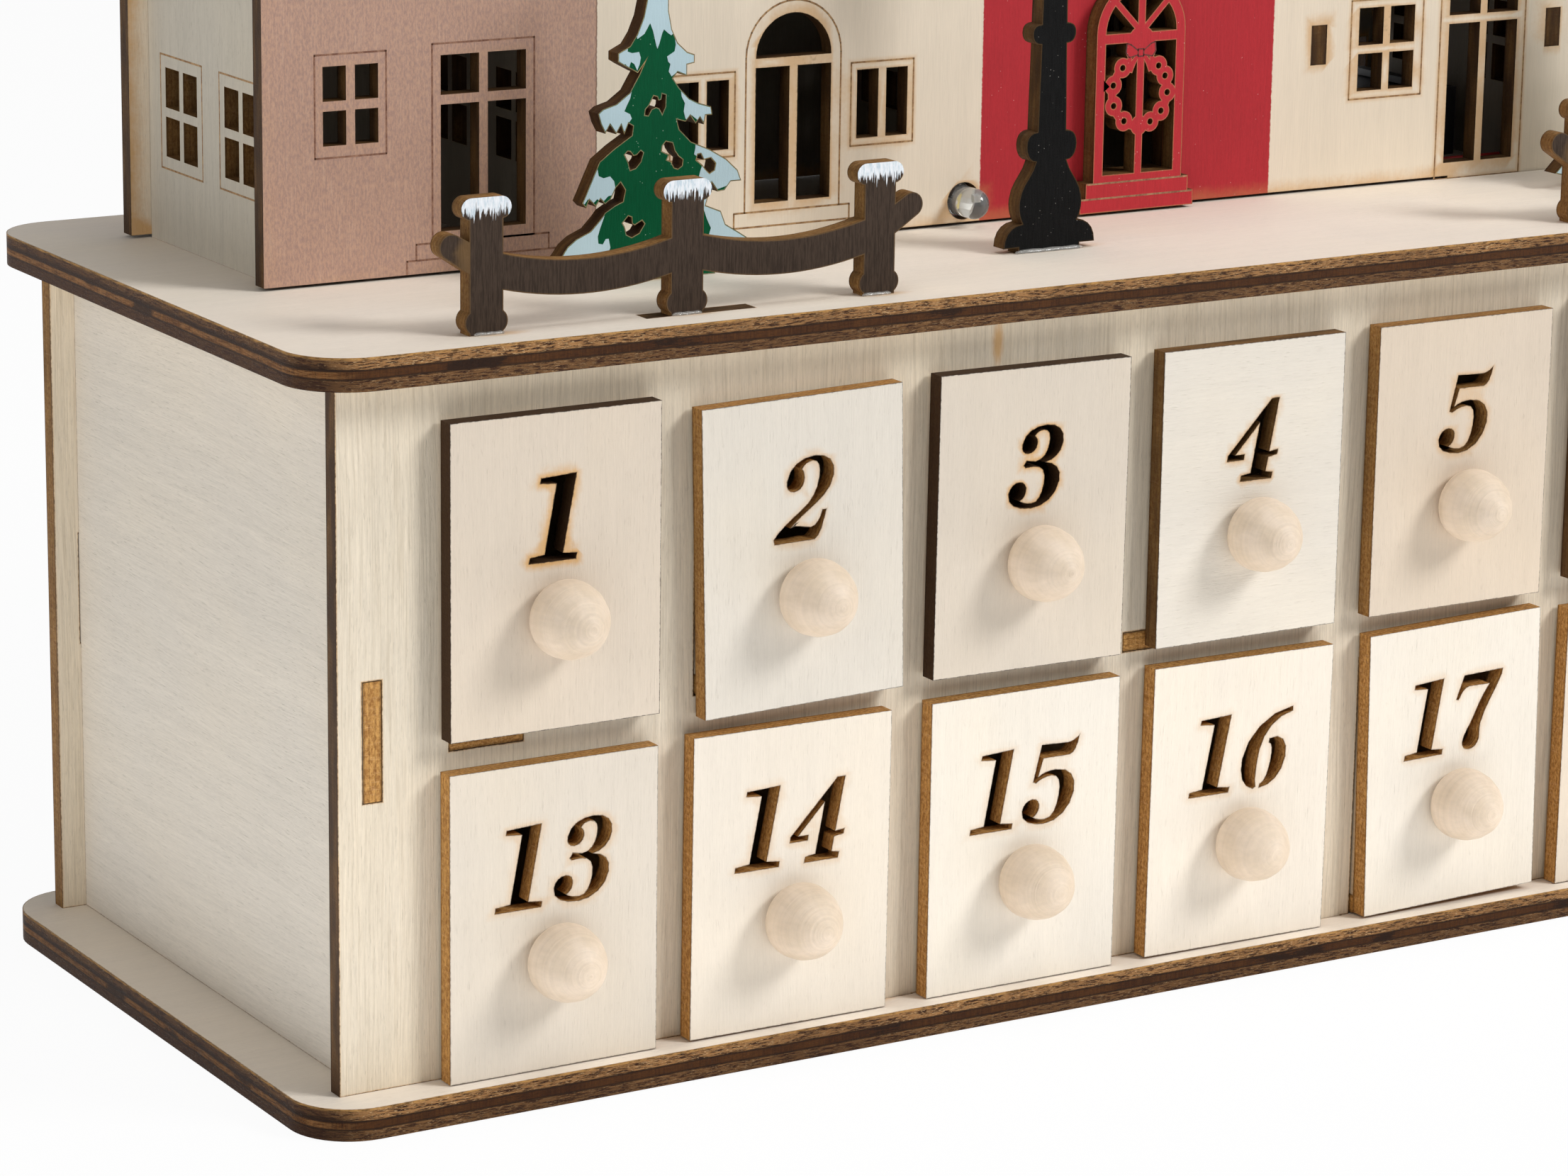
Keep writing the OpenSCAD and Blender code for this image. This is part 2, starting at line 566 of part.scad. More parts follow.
function column_x(i) = (i - (columns - 1) / 2) * column_pitch;
function drawer_name(n) = str("drawer_", n < 10 ? "0" : "", n);
function mirrored(path) = [for (e = path) [for (i = [0 : len(e) - 1]) i % 2 == 0 ? -e[i] : e[i]]];
function turned(path) = [for (e = path) [for (i = [0 : len(e) - 1]) i % 2 == 0 ? -e[i] : 1 - e[i]]];
function path_end(e) = [e[len(e) - 2], e[len(e) - 1]];
function cubic(a, b, c, d, t) =
    a * pow(1 - t, 3) + b * 3 * t * pow(1 - t, 2) + c * 3 * t * t * (1 - t) + d * pow(t, 3);
function outline(path, steps) = [for (i = [0 : len(path) - 1])
    let (e = path[i], a = path_end(path[i == 0 ? len(path) - 1 : i - 1]), d = path_end(e))
    each len(e) == 2 ? [d]
        : [for (k = [1 : steps]) cubic(a, [e[0], e[1]], [e[2], e[3]], d, k / steps)]];

digit_shares = [
    [half_zero_shares, mirrored(half_zero_shares)], one_shares, two_shares, three_shares,
    four_shares, five_shares, six_shares, seven_shares,
    [half_eight_shares, mirrored(half_eight_shares)], [for (p = six_shares) turned(p)]];

// Building blocks

// Rectangle from its low corner to its high corner
module area(low, high) {
    translate(low) square(high - low);
}

// Box from its low corner to its high corner
module block(low, high) {
    translate(low) cube(high - low);
}

// Sheet that stands along X, cut from an outline in X and Z, with its front face at y
module along_x(y, t) {
    translate([0, y + t, 0]) rotate([90, 0, 0]) linear_extrude(t) children();
}

// Sheet that stands along Y, cut from an outline in Y and Z, with its left face at x
module along_y(x, t) {
    translate([x, 0, 0]) rotate([90, 0, 90]) linear_extrude(t) children();
}

// Sheet that lies flat, with its lower face at z
module flat(z, t) {
    translate([0, 0, z]) linear_extrude(t) children();
}

// Tab or slot in a row of places along X, from low to high
module tabs(places, w, low, high) {
    for (x = places) area([x - w / 2, low], [x + w / 2, high]);
}

// Window of equal panes round the origin
module window(cols, rows, w, h) {
    for (c = [0 : cols - 1], r = [0 : rows - 1])
        translate([(c - (cols - 1) / 2) * (w + bar_w), (r - (rows - 1) / 2) * (h + bar_w)])
            square([w, h], center = true);
}

// Two low panes with two high panes above them, standing on the origin
module tall_window(w, low_h, top_h) {
    for (side = [-1, 1], pane = [[0, low_h], [low_h + bar_w, top_h]])
        translate([side * (w + bar_w) / 2, pane[0] + pane[1] / 2]) square([w, pane[1]], center = true);
}

// Half disc that stands on the origin
module half_disc(r) {
    intersection() {
        circle(r);
        area([-r, 0], [r, r]);
    }
}

// Chest

module deck_outline() {
    x = panel_w / 2 + deck_overhang;
    low = front_y - deck_overhang;
    high = rear_y + deck_overhang;
    r = deck_corner_r;
    area([-x + r, low], [x - r, high]);
    area([-x, low + r], [x, high - r]);
    for (cx = [-x + r, x - r], cy = [low + r, high - r]) translate([cx, cy]) circle(r);
}

// Slots in a plate that lies flat, for the tabs of the sheet whose front face is at y
module row_of_slots(places, w, y) {
    tabs(places, w + 2 * slot_gap, y - slot_gap, y + sheet_t + slot_gap);
}

module base_plate() {
    color("#d9c19c") flat(0, deck_t) difference() {
        deck_outline();
        for (y = [front_y, inner_rear_y]) row_of_slots(foot_tab_x, foot_tab_w, y);
    }
}

module top_plate() {
    color("#e0cdb0") flat(lid_z, deck_t) difference() {
        deck_outline();
        for (y = [front_y, inner_rear_y]) row_of_slots(lid_tab_x, lid_tab_w, y);
        row_of_slots(village_tab_x, village_tab_w, village_front_y);
        row_of_slots(village_rear_tab_x, village_tab_w, village_rear_y);
        row_of_slots([for (k = led_houses) led_x(k)], 2 * lamp_tenon_share * lamp_w,
            front_y + lamp_setback);
    }
}

// Outline of the front panel and the back panel, with the slots of the shelf and the end panels
module long_panel_outline() {
    difference() {
        union() {
            area([-panel_w / 2, deck_t], [panel_w / 2, lid_z]);
            tabs(lid_tab_x, lid_tab_w, shelf_z, top_z);
            tabs(foot_tab_x, foot_tab_w, tab_short, shelf_z);
        }
        tabs(shelf_tab_x, shelf_tab_w + 2 * slot_gap, shelf_z - slot_gap, upper_z + slot_gap);
        for (x = [-inner_x - sheet_t / 2, inner_x + sheet_t / 2])
            tabs([x], sheet_t + 2 * slot_gap, side_tab_z - slot_gap,
                side_tab_z + side_tab_h + slot_gap);
    }
}

module front_panel() {
    color("#e6d3b3") along_x(front_y, sheet_t) difference() {
        long_panel_outline();
        for (i = [0 : columns - 1]) {
            tabs([column_x(i)], opening_w, deck_t - overrun, deck_t + opening_h);
            tabs([column_x(i)], opening_w, upper_z, upper_z + opening_h);
        }
    }
}

module back_panel() {
    color("#e0cba8") along_x(inner_rear_y, sheet_t) long_panel_outline();
}

// End panel whose left face is at x
module side_panel(x) {
    color("#e6d6bd") along_y(x, sheet_t) {
        area([inner_front_y, deck_t], [inner_rear_y, lid_z]);
        area([front_y, side_tab_z], [rear_y, side_tab_z + side_tab_h]);
    }
}

module side_panel_left() {
    side_panel(-inner_x - sheet_t);
}

module side_panel_right() {
    side_panel(inner_x);
}

divider_places = [for (i = [1 : columns - 1]) (i - columns / 2) * column_pitch];

// The shelf is slotted from the rear and the dividers from the front, so that they cross
module middle_shelf() {
    color("#dcc6a2") flat(shelf_z, sheet_t) difference() {
        union() {
            area([-inner_x, inner_front_y], [inner_x, inner_rear_y]);
            tabs(shelf_tab_x, shelf_tab_w, front_y, rear_y);
        }
        tabs(divider_places, sheet_t + 2 * slot_gap, middle_y - slot_gap, rear_y + overrun);
    }
}

module column_dividers() {
    color("#dcc6a2") for (x = divider_places) along_y(x - sheet_t / 2, sheet_t) difference() {
        area([inner_front_y, deck_t], [inner_rear_y, lid_z]);
        area([front_y, shelf_z - slot_gap], [middle_y + slot_gap, upper_z + slot_gap]);
    }
}

// Drawers

// One numeral as an outline, centred on X, its foot at the origin
module digit(d) {
    for (path = digit_shares[d])
        polygon([for (p = outline(path, 4))
            numeral_h * [narrow_share * p[0] + lean_share * (p[1] - 0.5), p[1]]]);
}

module number(n) {
    if (n < 10) {
        translate([digit_shift, 0]) digit(n);
    } else {
        half_pitch = digit_pitch / 2 * (n == 11 ? eleven_share : 1);
        translate([-half_pitch, 0]) digit(floor(n / 10));
        translate([half_pitch, 0]) digit(n % 10);
    }
}

// Knob profile: out from its foot to the belly, then in to a slightly pointed nose
module knob() {
    nose = knob_l - knob_belly;
    profile = [
        [0, 0], [knob_foot_r, 0],
        [knob_r - (knob_r - knob_foot_r) / 3, knob_belly / 4, knob_r, knob_belly / 2, knob_r, knob_belly],
        [knob_r, knob_belly + nose * 0.5, knob_r * 0.5, knob_l - nose * 0.07, 0, knob_l]];
    rotate_extrude() polygon(outline(profile, 6));
}

// Low and high end of finger i out of count along a joint, drawn in by the glue gap
function finger(i, count, low, high) = [
    low + (high - low) * i / count + glue_gap / 2,
    low + (high - low) * (i + 1) / count - glue_gap / 2];

// Drawer box of bottom, sides and back, joined by fingers, with its underside at z
module tray(z) {
    edge = tray_w / 2;
    inner = edge - sheet_t;
    back_y = tray_rear_y - sheet_t;
    floor_z = z + sheet_t;
    high = z + tray_h;
    flat(z, sheet_t) {
        area([-inner + glue_gap, tray_front_y], [inner - glue_gap, back_y - glue_gap]);
        for (i = [0 : 2 : bottom_fingers - 1]) let (f = finger(i, bottom_fingers, tray_front_y, back_y))
            area([-edge, f[0]], [edge, f[1] - (i == bottom_fingers - 1 ? glue_gap : 0)]);
    }
    for (x = [-edge, inner]) along_y(x, sheet_t) {
        area([tray_front_y, floor_z + glue_gap], [back_y - glue_gap, high]);
        for (i = [1 : 2 : bottom_fingers - 1]) let (f = finger(i, bottom_fingers, tray_front_y, back_y))
            area([f[0], z], [f[1], high]);
        for (i = [1 : 2 : corner_fingers - 1]) let (f = finger(i, corner_fingers, z, high))
            area([tray_front_y, f[0]], [tray_rear_y, f[1]]);
    }
    along_x(back_y, sheet_t) {
        area([-inner + glue_gap, z], [inner - glue_gap, high]);
        for (i = [0 : 2 : corner_fingers - 1]) let (f = finger(i, corner_fingers, z, high))
            area([-edge, i == 0 ? z : f[0]], [edge, i == corner_fingers - 1 ? high : f[1]]);
    }
}

// Drawer n: the upper row holds the first twelve. The plate is placed from its own middle
module drawer(n) {
    upper = n <= columns;
    column = (n - 1) % columns;
    seats = plate_seats[upper ? 0 : 1];
    seat = seats[column % len(seats)];
    floor_z = upper ? upper_z : deck_t;
    plate_z = (upper ? upper_z - upper_plate_drop : deck_t + lower_plate_rise) + plate_h / 2;
    translate([column_x(column), 0, 0]) {
        translate([seat[0], 0, plate_z + seat[1]]) rotate([0, -seat[2], 0]) {
            color("#ecdcc2") along_x(plate_front_y, sheet_t) difference() {
                square([plate_w, plate_h], center = true);
                translate([0, numeral_rise - plate_h / 2]) number(n);
            }
            color("#f0dfc4") translate([knob_shift, plate_front_y - glue_gap, knob_rise - plate_h / 2])
                rotate([90, 0, 0]) knob();
        }
        color("#dcc6a2") tray(floor_z + tray_play);
    }
}

// Village

// Outline of the whole street: one sheet with a gable for each house
module street_outline() {
    low = top_z + facade_lift;
    gables = [for (k = [house_count - 1 : -1 : 0]) each [
        [house_left(k) + house_w(k), eaves_z(k)],
        [house_middle(k), ridge_z(k)],
        [house_left(k), eaves_z(k)]]];
    polygon(concat([[-village_w / 2, low], [village_w / 2, low]], gables));
}

// Slots for the tabs of the walls in the pale houses with a tall window
module wall_tab_slots() {
    for (place = inner_wall_places) if (is_kind(place[1], "plain"))
        area([place[0] - slot_gap, top_z + wall_tab_rise - slot_gap],
             [place[0] + sheet_t + slot_gap, top_z + wall_tab_rise + wall_tab_h + slot_gap]);
}

module brown_windows() {
    translate([small_window_x, small_window_z]) window(2, 2, small_pane_w, small_pane_h);
    for (x = [small_window_x, brown_w - small_window_x])
        translate([x, upper_window_z]) window(2, 2, small_pane_w, small_pane_h);
    translate([brown_w / 2, gable_window_z]) window(2, 2, small_pane_w, small_pane_h);
    translate([brown_tall_x, brown_tall_z]) tall_window(tall_pane_w, brown_tall_h, tall_top_h);
}

module arched_windows() {
    for (side = [-1, 1], z = [narrow_window_z, upper_narrow_z])
        translate([arched_w / 2 + side * narrow_window_x, z])
            window(2, 1, narrow_pane_w, narrow_pane_h);
    translate([arched_w / 2, arched_gable_z]) window(2, 2, square_pane_w, square_pane_h);
    translate([arched_w / 2, arch_sill]) {
        pane_w = arch_r - bar_w / 2;
        for (side = [-1, 1]) translate([side * (pane_w + bar_w) / 2, arch_pane_h / 2])
            square([pane_w, arch_pane_h], center = true);
        translate([0, arch_pane_h + bar_w]) half_disc(arch_r);
    }
}

// Plain arched opening that stands on the origin, behind the door surround
module arch_opening() {
    area([-arch_r, 0], [arch_r, arch_pane_h + transom_h]);
    translate([0, arch_pane_h + transom_h]) circle(arch_r);
}

module red_windows() {
    translate([red_w / 2, arch_sill]) arch_opening();
    for (side = [-1, 1]) translate([red_w / 2 + side * upper_red_x, upper_window_z])
        window(2, 2, square_pane_w, square_pane_h);
    translate([red_w / 2, gable_window_z]) window(2, 2, small_pane_w, small_pane_h);
}

module plain_windows() {
    translate([square_window_x, square_window_z]) window(2, 2, square_pane_w, square_pane_h);
    translate([plain_tall_x, plain_tall_z]) tall_window(tall_pane_w, plain_tall_h, tall_top_h);
    for (side = [-1, 1]) translate([plain_w / 2 + side * plain_gable_x, upper_window_z])
        window(2, 1, narrow_pane_w, narrow_pane_h);
}

module village_front() {
    color("#dcc8a8") along_x(village_front_y, sheet_t) difference() {
        union() {
            street_outline();
            tabs(village_tab_x, village_tab_w, top_z - tab_depth, top_z + facade_lift + bar_w);
        }
        wall_tab_slots();
        for (k = [0 : house_count - 1]) translate([house_left(k), top_z]) {
            if (is_kind(k, "brown")) brown_windows();
            if (is_kind(k, "arched")) arched_windows();
            if (is_kind(k, "red")) red_windows();
            if (is_kind(k, "plain")) plain_windows();
        }
        for (k = led_houses) translate([led_x(k), top_z + led_rise]) circle(led_hole_r);
    }
}

module village_back() {
    color("#dcc8a8") along_x(village_rear_y, sheet_t) difference() {
        union() {
            street_outline();
            tabs(village_rear_tab_x, village_tab_w, top_z - tab_depth, top_z + facade_lift + bar_w);
        }
        wall_tab_slots();
        tabs([house_middle(box_house)], hatch_w, top_z, top_z + hatch_h);
    }
}

// Wall between the house fronts and the house backs, with two windows
module wall(x, h, tabbed) {
    y = (village_inner_y + village_rear_y) / 2;
    along_y(x, sheet_t) difference() {
        union() {
            area([village_inner_y, top_z], [village_rear_y, top_z + h]);
            if (tabbed) area([village_front_y, top_z + wall_tab_rise],
                [village_rear_y + sheet_t, top_z + wall_tab_rise + wall_tab_h]);
        }
        for (side = [-1, 1]) translate([y + side * wall_window_x, top_z + wall_window_z])
            window(2, 2, square_pane_w, square_pane_h);
        area([village_front_y, top_z - overrun], [village_inner_y + wire_notch, top_z + wire_notch]);
    }
}

module end_walls() {
    color("#d8c8ac") {
        wall(end_wall_places[0], brown_eaves, false);
        wall(end_wall_places[1], plain_eaves, false);
    }
}

module partition_walls() {
    color("#d8c8ac") for (place = inner_wall_places)
        wall(place[0], kind_eaves[kind(place[1])], is_kind(place[1], "plain"));
}

// Roof of house k: two sheets that meet over the ridge.
// Beside a taller house a sheet stops short of that house, and elsewhere it stands out over its eaves.
module roof(k) {
    pitch = kind_pitch[kind(k)];
    low = is_kind(k, "arched") || is_kind(k, "plain");
    color("#d9d2c4") for (side = [-1, 1]) {
        free = !low || (k == house_count - 1 && side == 1);
        reach = house_w(k) / 2 + (free ? roof_side : -slot_gap - sheet_t * sin(pitch));
        eave = [house_middle(k) + side * reach, ridge_z(k) + glue_gap - reach * tan(pitch)];
        ridge = [house_middle(k) + side * glue_gap, ridge_z(k) + glue_gap - glue_gap * tan(pitch)];
        along_x(village_front_y - roof_front, village_depth + roof_front + roof_rear)
            polygon([ridge, ridge + [0, sheet_t / cos(pitch)],
                eave + sheet_t * [side * sin(pitch), cos(pitch)], eave]);
    }
}

// Wreath in the plane of the door, round the origin
module wreath() {
    difference() {
        union() {
            difference() {
                circle(wreath_r + berry_r / 2);
                circle(wreath_r - berry_r / 2);
                area([-berry_r, 0], [berry_r, wreath_r + berry_r]);
            }
            for (angle = berry_angles) rotate(angle) translate([wreath_r, 0]) circle(berry_r);
        }
        for (angle = berry_angles) rotate(angle) translate([wreath_r, 0]) circle(berry_hole_r);
    }
    for (side = [-1, 1], shape = [bow_loop_shares, bow_tail_shares])
        polygon([for (p = shape) wreath_r * [side * p[0], p[1]]]);
}

// Arched door surround with its steps, glazing bars and wreath, cut from one sheet
module door_surround() {
    outer = arch_r + surround_rim;
    spring = arch_sill + arch_pane_h + transom_h;
    wreath_z = arch_sill + arch_pane_h - wreath_r * 1.5;
    difference() {
        union() {
            area([-outer, facade_lift], [outer, spring]);
            translate([0, spring]) circle(outer);
            area([-upper_step_w / 2, facade_lift], [upper_step_w / 2, facade_lift + 2 * step_h]);
            area([-lower_step_w / 2, facade_lift], [lower_step_w / 2, facade_lift + step_h]);
        }
        translate([0, arch_sill]) arch_opening();
    }
    intersection() {
        translate([0, arch_sill]) arch_opening();
        union() {
            area([-bar_w / 2, arch_sill - overrun], [bar_w / 2, spring + outer]);
            area([-outer, spring - transom_h], [outer, spring]);
            translate([0, spring - transom_h]) circle(fan_hub_r + transom_h / 2);
            for (angle = [45, 135]) translate([0, spring]) rotate(angle)
                area([0, -fan_bar_w / 2], [outer, fan_bar_w / 2]);
            translate([0, wreath_z]) wreath();
        }
    }
}

module door_surrounds() {
    color("#c22f3a") for (k = [0 : house_count - 1]) if (is_kind(k, "red"))
        translate([house_middle(k), 0, top_z]) along_x(village_front_y - glue_gap - sheet_t, sheet_t)
            door_surround();
}

// Street

module spruce_tree(x) {
    color("#0f6b3a") translate([x, 0, top_z]) along_x(front_y + tree_setback, sheet_t) difference() {
        polygon([for (p = tree_shares) [p[0] * tree_w, p[1] * tree_h]]);
        for (hole = tree_hole_shares) polygon([for (p = hole) [p[0] * tree_w, p[1] * tree_h]]);
    }
}

module spruce_tree_left() {
    spruce_tree(-tree_spacing);
}

module spruce_tree_middle() {
    spruce_tree(-middle_shift);
}

module spruce_tree_right() {
    spruce_tree(tree_spacing);
}

// Bar with round ends between two points of one height
module pill(half_w, z, r) {
    area([-half_w + r, z - r], [half_w - r, z + r]);
    for (side = [-1, 1]) translate([side * (half_w - r), z]) circle(r);
}

module fence_post() {
    foot_r = post_foot_h / 2;
    cap_r = post_cap_h / 2;
    area([-post_w / 2, 0], [post_w / 2, post_h - cap_r]);
    pill(post_foot_w / 2, foot_r + glue_gap, foot_r);
    pill(post_cap_w / 2, post_h - cap_r, cap_r);
}

// Rail between two posts: a band of an arc that hangs from them
module fence_rail() {
    half = post_pitch / 2;
    r = (half * half + rail_sag * rail_sag) / (2 * rail_sag);
    z = rail_rise - rail_sag + r;
    intersection() {
        translate([0, z]) difference() {
            circle(r + rail_w / 2, $fn = 180);
            circle(r - rail_w / 2, $fn = 180);
        }
        area([-half, 0], [half, post_h]);
    }
}

module fence(x) {
    color("#4a3a33") translate([x, 0, top_z]) along_x(front_y, sheet_t) {
        for (i = [-1 : 1]) translate([i * post_pitch, 0]) fence_post();
        for (side = [-1, 1]) {
            translate([side * post_pitch / 2, 0]) fence_rail();
            mirror([side < 0 ? 1 : 0, 0]) translate([post_pitch, rail_rise]) {
                l = norm([rail_end_l, rail_end_rise]);
                rotate(atan2(rail_end_rise, rail_end_l)) hull() {
                    circle(rail_w * 0.4);
                    translate([l, 0]) circle(rail_end_w / 2);
                }
            }
        }
    }
}

module fence_left() {
    fence(-fence_spacing);
}

module fence_middle() {
    fence(-middle_shift);
}

module fence_right() {
    fence(fence_spacing);
}

// Lamp post in front of the light of house k, its tenon through the lid plate
module lamp_post(k) {
    function scaled(p) = [p[0] * lamp_w, p[1] * lamp_h];
    half = [for (p = outline(concat([[0, 0]], lamp_shares), 5)) scaled(p)];
    color("#1d1b1c") translate([led_x(k), 0, top_z]) along_x(front_y + lamp_setback, sheet_t) {
        difference() {
            polygon(concat(half, [for (i = [len(half) - 1 : -1 : 1]) [-half[i][0], half[i][1]]]));
            for (side = [-1, 1])
                polygon([for (p = lantern_pane_shares) [side * p[0] * lamp_w, p[1] * lamp_h]]);
        }
        tabs([0], 2 * lamp_tenon_share * lamp_w, -tab_depth, lamp_w * 0.1);
    }
}

module lamp_post_left() {
    lamp_post(led_houses[0]);
}

module lamp_post_right() {
    lamp_post(led_houses[1]);
}

// Lights

// Clear light that points to the front, its rim in the house front, with two bent legs
module led(k) {
    rear = village_inner_y - slot_gap;
    leg_z = top_z + led_rise;
    translate([led_x(k), rear, leg_z]) rotate([90, 0, 0]) {
        cylinder(h = led_rim_h, r = led_rim_r);
        cylinder(h = led_l - led_r, r = led_r);
        translate([0, 0, led_l - led_r]) sphere(led_r);
    }
    reach = [wire_y - wire_r - glue_gap - led_leg_w, wire_y - led_leg_w / 2];
    foot = [low_wire_z, high_wire_z + wire_r + glue_gap];
    for (i = [0, 1]) {
        x = led_x(k) + (2 * i - 1) * led_leg_pitch / 2 - led_leg_w / 2;
        block([x, rear - led_rim_h / 2, leg_z - led_leg_w / 2],
              [x + led_leg_w, reach[i] + led_leg_w, leg_z + led_leg_w / 2]);
        block([x, reach[i], foot[i]], [x + led_leg_w, reach[i] + led_leg_w, leg_z]);
    }
}

module leds() {
    color("#e8eef2") for (k = led_houses) led(k);
}

// Battery box

box_x = house_middle(box_house);
box_rear_y = village_rear_y - box_gap;
box_front_y = box_rear_y - box_d;
box_top_z = top_z + box_h;
box_floor_z = top_z + box_wall;
lip_h = box_wall - box_play;
cover_z = box_top_z - lip_h - box_play - cover_t;
sill_z = cover_z - box_play;
cover_half = box_w / 2 - box_wall + groove_d - box_play;
switch_x = box_w / 2 - box_wall - switch_w - switch_travel - box_wall;
switch_z = (box_floor_z + sill_z) / 2;
cell_x = -box_w / 2 + box_wall + cell_r + box_play;
cell_y = box_front_y + box_wall + cell_r + box_play;
contact_x = [cell_x, cell_x + cell_r - contact_w];
contact_z = [box_floor_z + glue_gap, high_wire_z + wire_r + glue_gap];

module battery_box() {
    half = box_w / 2;
    inner = half - box_wall;
    color("#2b2b2d") translate([box_x, 0, 0]) difference() {
        block([-half, box_front_y, top_z], [half, box_rear_y, box_top_z]);
        block([-inner, box_front_y + box_wall, box_floor_z], [inner, box_rear_y - box_wall, sill_z]);
        block([-inner - groove_d, box_front_y + box_wall, sill_z],
              [inner + groove_d, box_rear_y + overrun, cover_z + cover_t + box_play]);
        block([-inner + groove_d, box_front_y + box_wall, sill_z],
              [inner - groove_d, box_rear_y + overrun, box_top_z + overrun]);
        block([switch_x - box_play, box_rear_y - box_wall - overrun, switch_z - switch_h / 4 - box_play],
              [switch_x + switch_w / 2 + switch_travel + box_play, box_rear_y + overrun,
               switch_z + switch_h / 4 + box_play]);
        for (i = [0, 1])
            block([contact_x[i] - contact_w / 2 - slot_gap, box_front_y - overrun, contact_z[i] - slot_gap],
                  [contact_x[i] + contact_w / 2 + slot_gap, box_front_y + box_wall + overrun,
                   contact_z[i] + contact_t + slot_gap]);
    }
}

// Cover that slides to the rear, with three grip ribs
module battery_cover() {
    rib_w = box_wall / 2;
    color("#333336") translate([box_x, 0, 0]) {
        block([-cover_half, box_front_y + box_wall + box_play, cover_z],
              [cover_half, box_rear_y, cover_z + cover_t]);
        for (i = [1 : 3]) translate([0, box_rear_y - (2 * i + 1) * rib_w, cover_z + cover_t - rib_w])
            block([-cell_r / 2, 0, 0], [cell_r / 2, rib_w, 2 * rib_w]);
    }
}

// Slider: a plate inside the rear wall, a neck through its slot and a button outside
module battery_switch() {
    inside = box_rear_y - box_wall - box_play;
    outside = box_rear_y + box_play / 2;
    color("#111112") translate([box_x + switch_x, 0, switch_z]) {
        block([-switch_w / 2, inside - box_wall, -switch_h / 2], [switch_w, inside, switch_h / 2]);
        block([0, inside - box_play, -switch_h / 4], [switch_w / 2, outside + box_play, switch_h / 4]);
        block([-switch_w / 4, outside, -switch_h / 2],
              [switch_w * 3 / 4, outside + switch_out, switch_h / 2]);
    }
}

module coin_cells() {
    low = box_floor_z + contact_t + 2 * glue_gap;
    color("#c9ccd0") translate([box_x + cell_x, cell_y, 0]) for (i = [0, 1])
        translate([0, 0, low + i * (cell_t + glue_gap)]) cylinder(h = cell_t, r = cell_r);
}

// Two strips: one lies under the cells, one stands beside them; both end outside the front wall
module battery_contacts() {
    outside = box_front_y - contact_w / 2;
    color("#d8b25a") translate([box_x, 0, 0]) {
        block([contact_x[0] - contact_w / 2, outside, contact_z[0]],
              [contact_x[0] + contact_w / 2, cell_y + cell_r / 2, contact_z[0] + contact_t]);
        block([contact_x[1] - contact_w / 2, outside, contact_z[1]],
              [contact_x[1] + contact_w / 2, box_front_y + box_wall + contact_w / 2,
               contact_z[1] + contact_t]);
    }
}

// Twin leads along the inside of the house fronts, with one branch each to the battery box
module led_wiring() {
    ends = [for (k = led_houses) led_x(k)];
    levels = [low_wire_z, high_wire_z];
    branch_r = wire_r - glue_gap;
    color("#8a1f1f") for (i = [0, 1]) {
        translate([ends[0] - led_leg_pitch, wire_y, levels[i]]) rotate([0, 90, 0])
            cylinder(h = ends[1] - ends[0] + 2 * led_leg_pitch, r = wire_r);
        translate([box_x + contact_x[i], wire_y, levels[i]]) rotate([-90, 0, 0])
            cylinder(h = box_front_y - slot_gap - wire_y, r = branch_r);
    }
}

base_plate();
top_plate();
front_panel();
back_panel();
side_panel_left();
side_panel_right();
middle_shelf();
column_dividers();
village_front();
village_back();
end_walls();
partition_walls();
for (k = [1 : house_count]) roof(k - 1);
door_surrounds();
spruce_tree_left();
spruce_tree_middle();
spruce_tree_right();
fence_left();
fence_middle();
fence_right();
lamp_post_left();
lamp_post_right();
leds();
led_wiring();
battery_box();
battery_cover();
battery_switch();
coin_cells();
battery_contacts();
for (n = [1 : drawer_count]) drawer(n);
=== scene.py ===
"""Looks of a wooden advent calendar: plywood, paint, snow, lights and the stage.

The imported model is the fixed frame. Each operator below dresses one group of its pieces.
"""

import functools
import math
import random
from collections import namedtuple

import bmesh
import bpy
from mathutils import Matrix, Vector, kdtree


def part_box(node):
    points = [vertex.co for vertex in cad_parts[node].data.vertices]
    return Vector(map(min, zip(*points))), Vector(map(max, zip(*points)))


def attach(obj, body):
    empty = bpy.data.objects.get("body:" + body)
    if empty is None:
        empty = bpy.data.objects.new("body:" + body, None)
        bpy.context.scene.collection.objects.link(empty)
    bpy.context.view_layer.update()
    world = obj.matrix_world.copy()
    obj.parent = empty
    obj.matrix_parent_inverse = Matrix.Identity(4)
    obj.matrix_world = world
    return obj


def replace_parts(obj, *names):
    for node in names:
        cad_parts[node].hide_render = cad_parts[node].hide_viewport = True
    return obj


bl_info = {
    "name": "Advent Calendar Looks",
    "version": (1, 0, 0),
    "blender": (4, 5, 0),
    "location": "View3D > Sidebar > Calendar",
    "description": "Dresses the wooden advent calendar and sets its stage",
    "category": "Object",
}

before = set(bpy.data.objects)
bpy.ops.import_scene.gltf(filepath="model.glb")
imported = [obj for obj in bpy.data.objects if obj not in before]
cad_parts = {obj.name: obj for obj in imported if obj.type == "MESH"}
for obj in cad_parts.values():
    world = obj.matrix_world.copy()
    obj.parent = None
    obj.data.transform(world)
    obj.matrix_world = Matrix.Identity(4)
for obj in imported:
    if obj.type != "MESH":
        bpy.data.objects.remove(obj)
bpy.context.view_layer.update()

MM = 0.001
ACROSS, DEPTH, UP = 0, 1, 2
DRAWERS = ["drawer_%02d" % number for number in range(1, 25)]
SIDES = ("left", "middle", "right")
LID_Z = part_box("top_plate")[1].z
PANEL_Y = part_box("front_panel")[0].y
STREET_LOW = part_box("village_front")[0]
STREET_Y = STREET_LOW.y

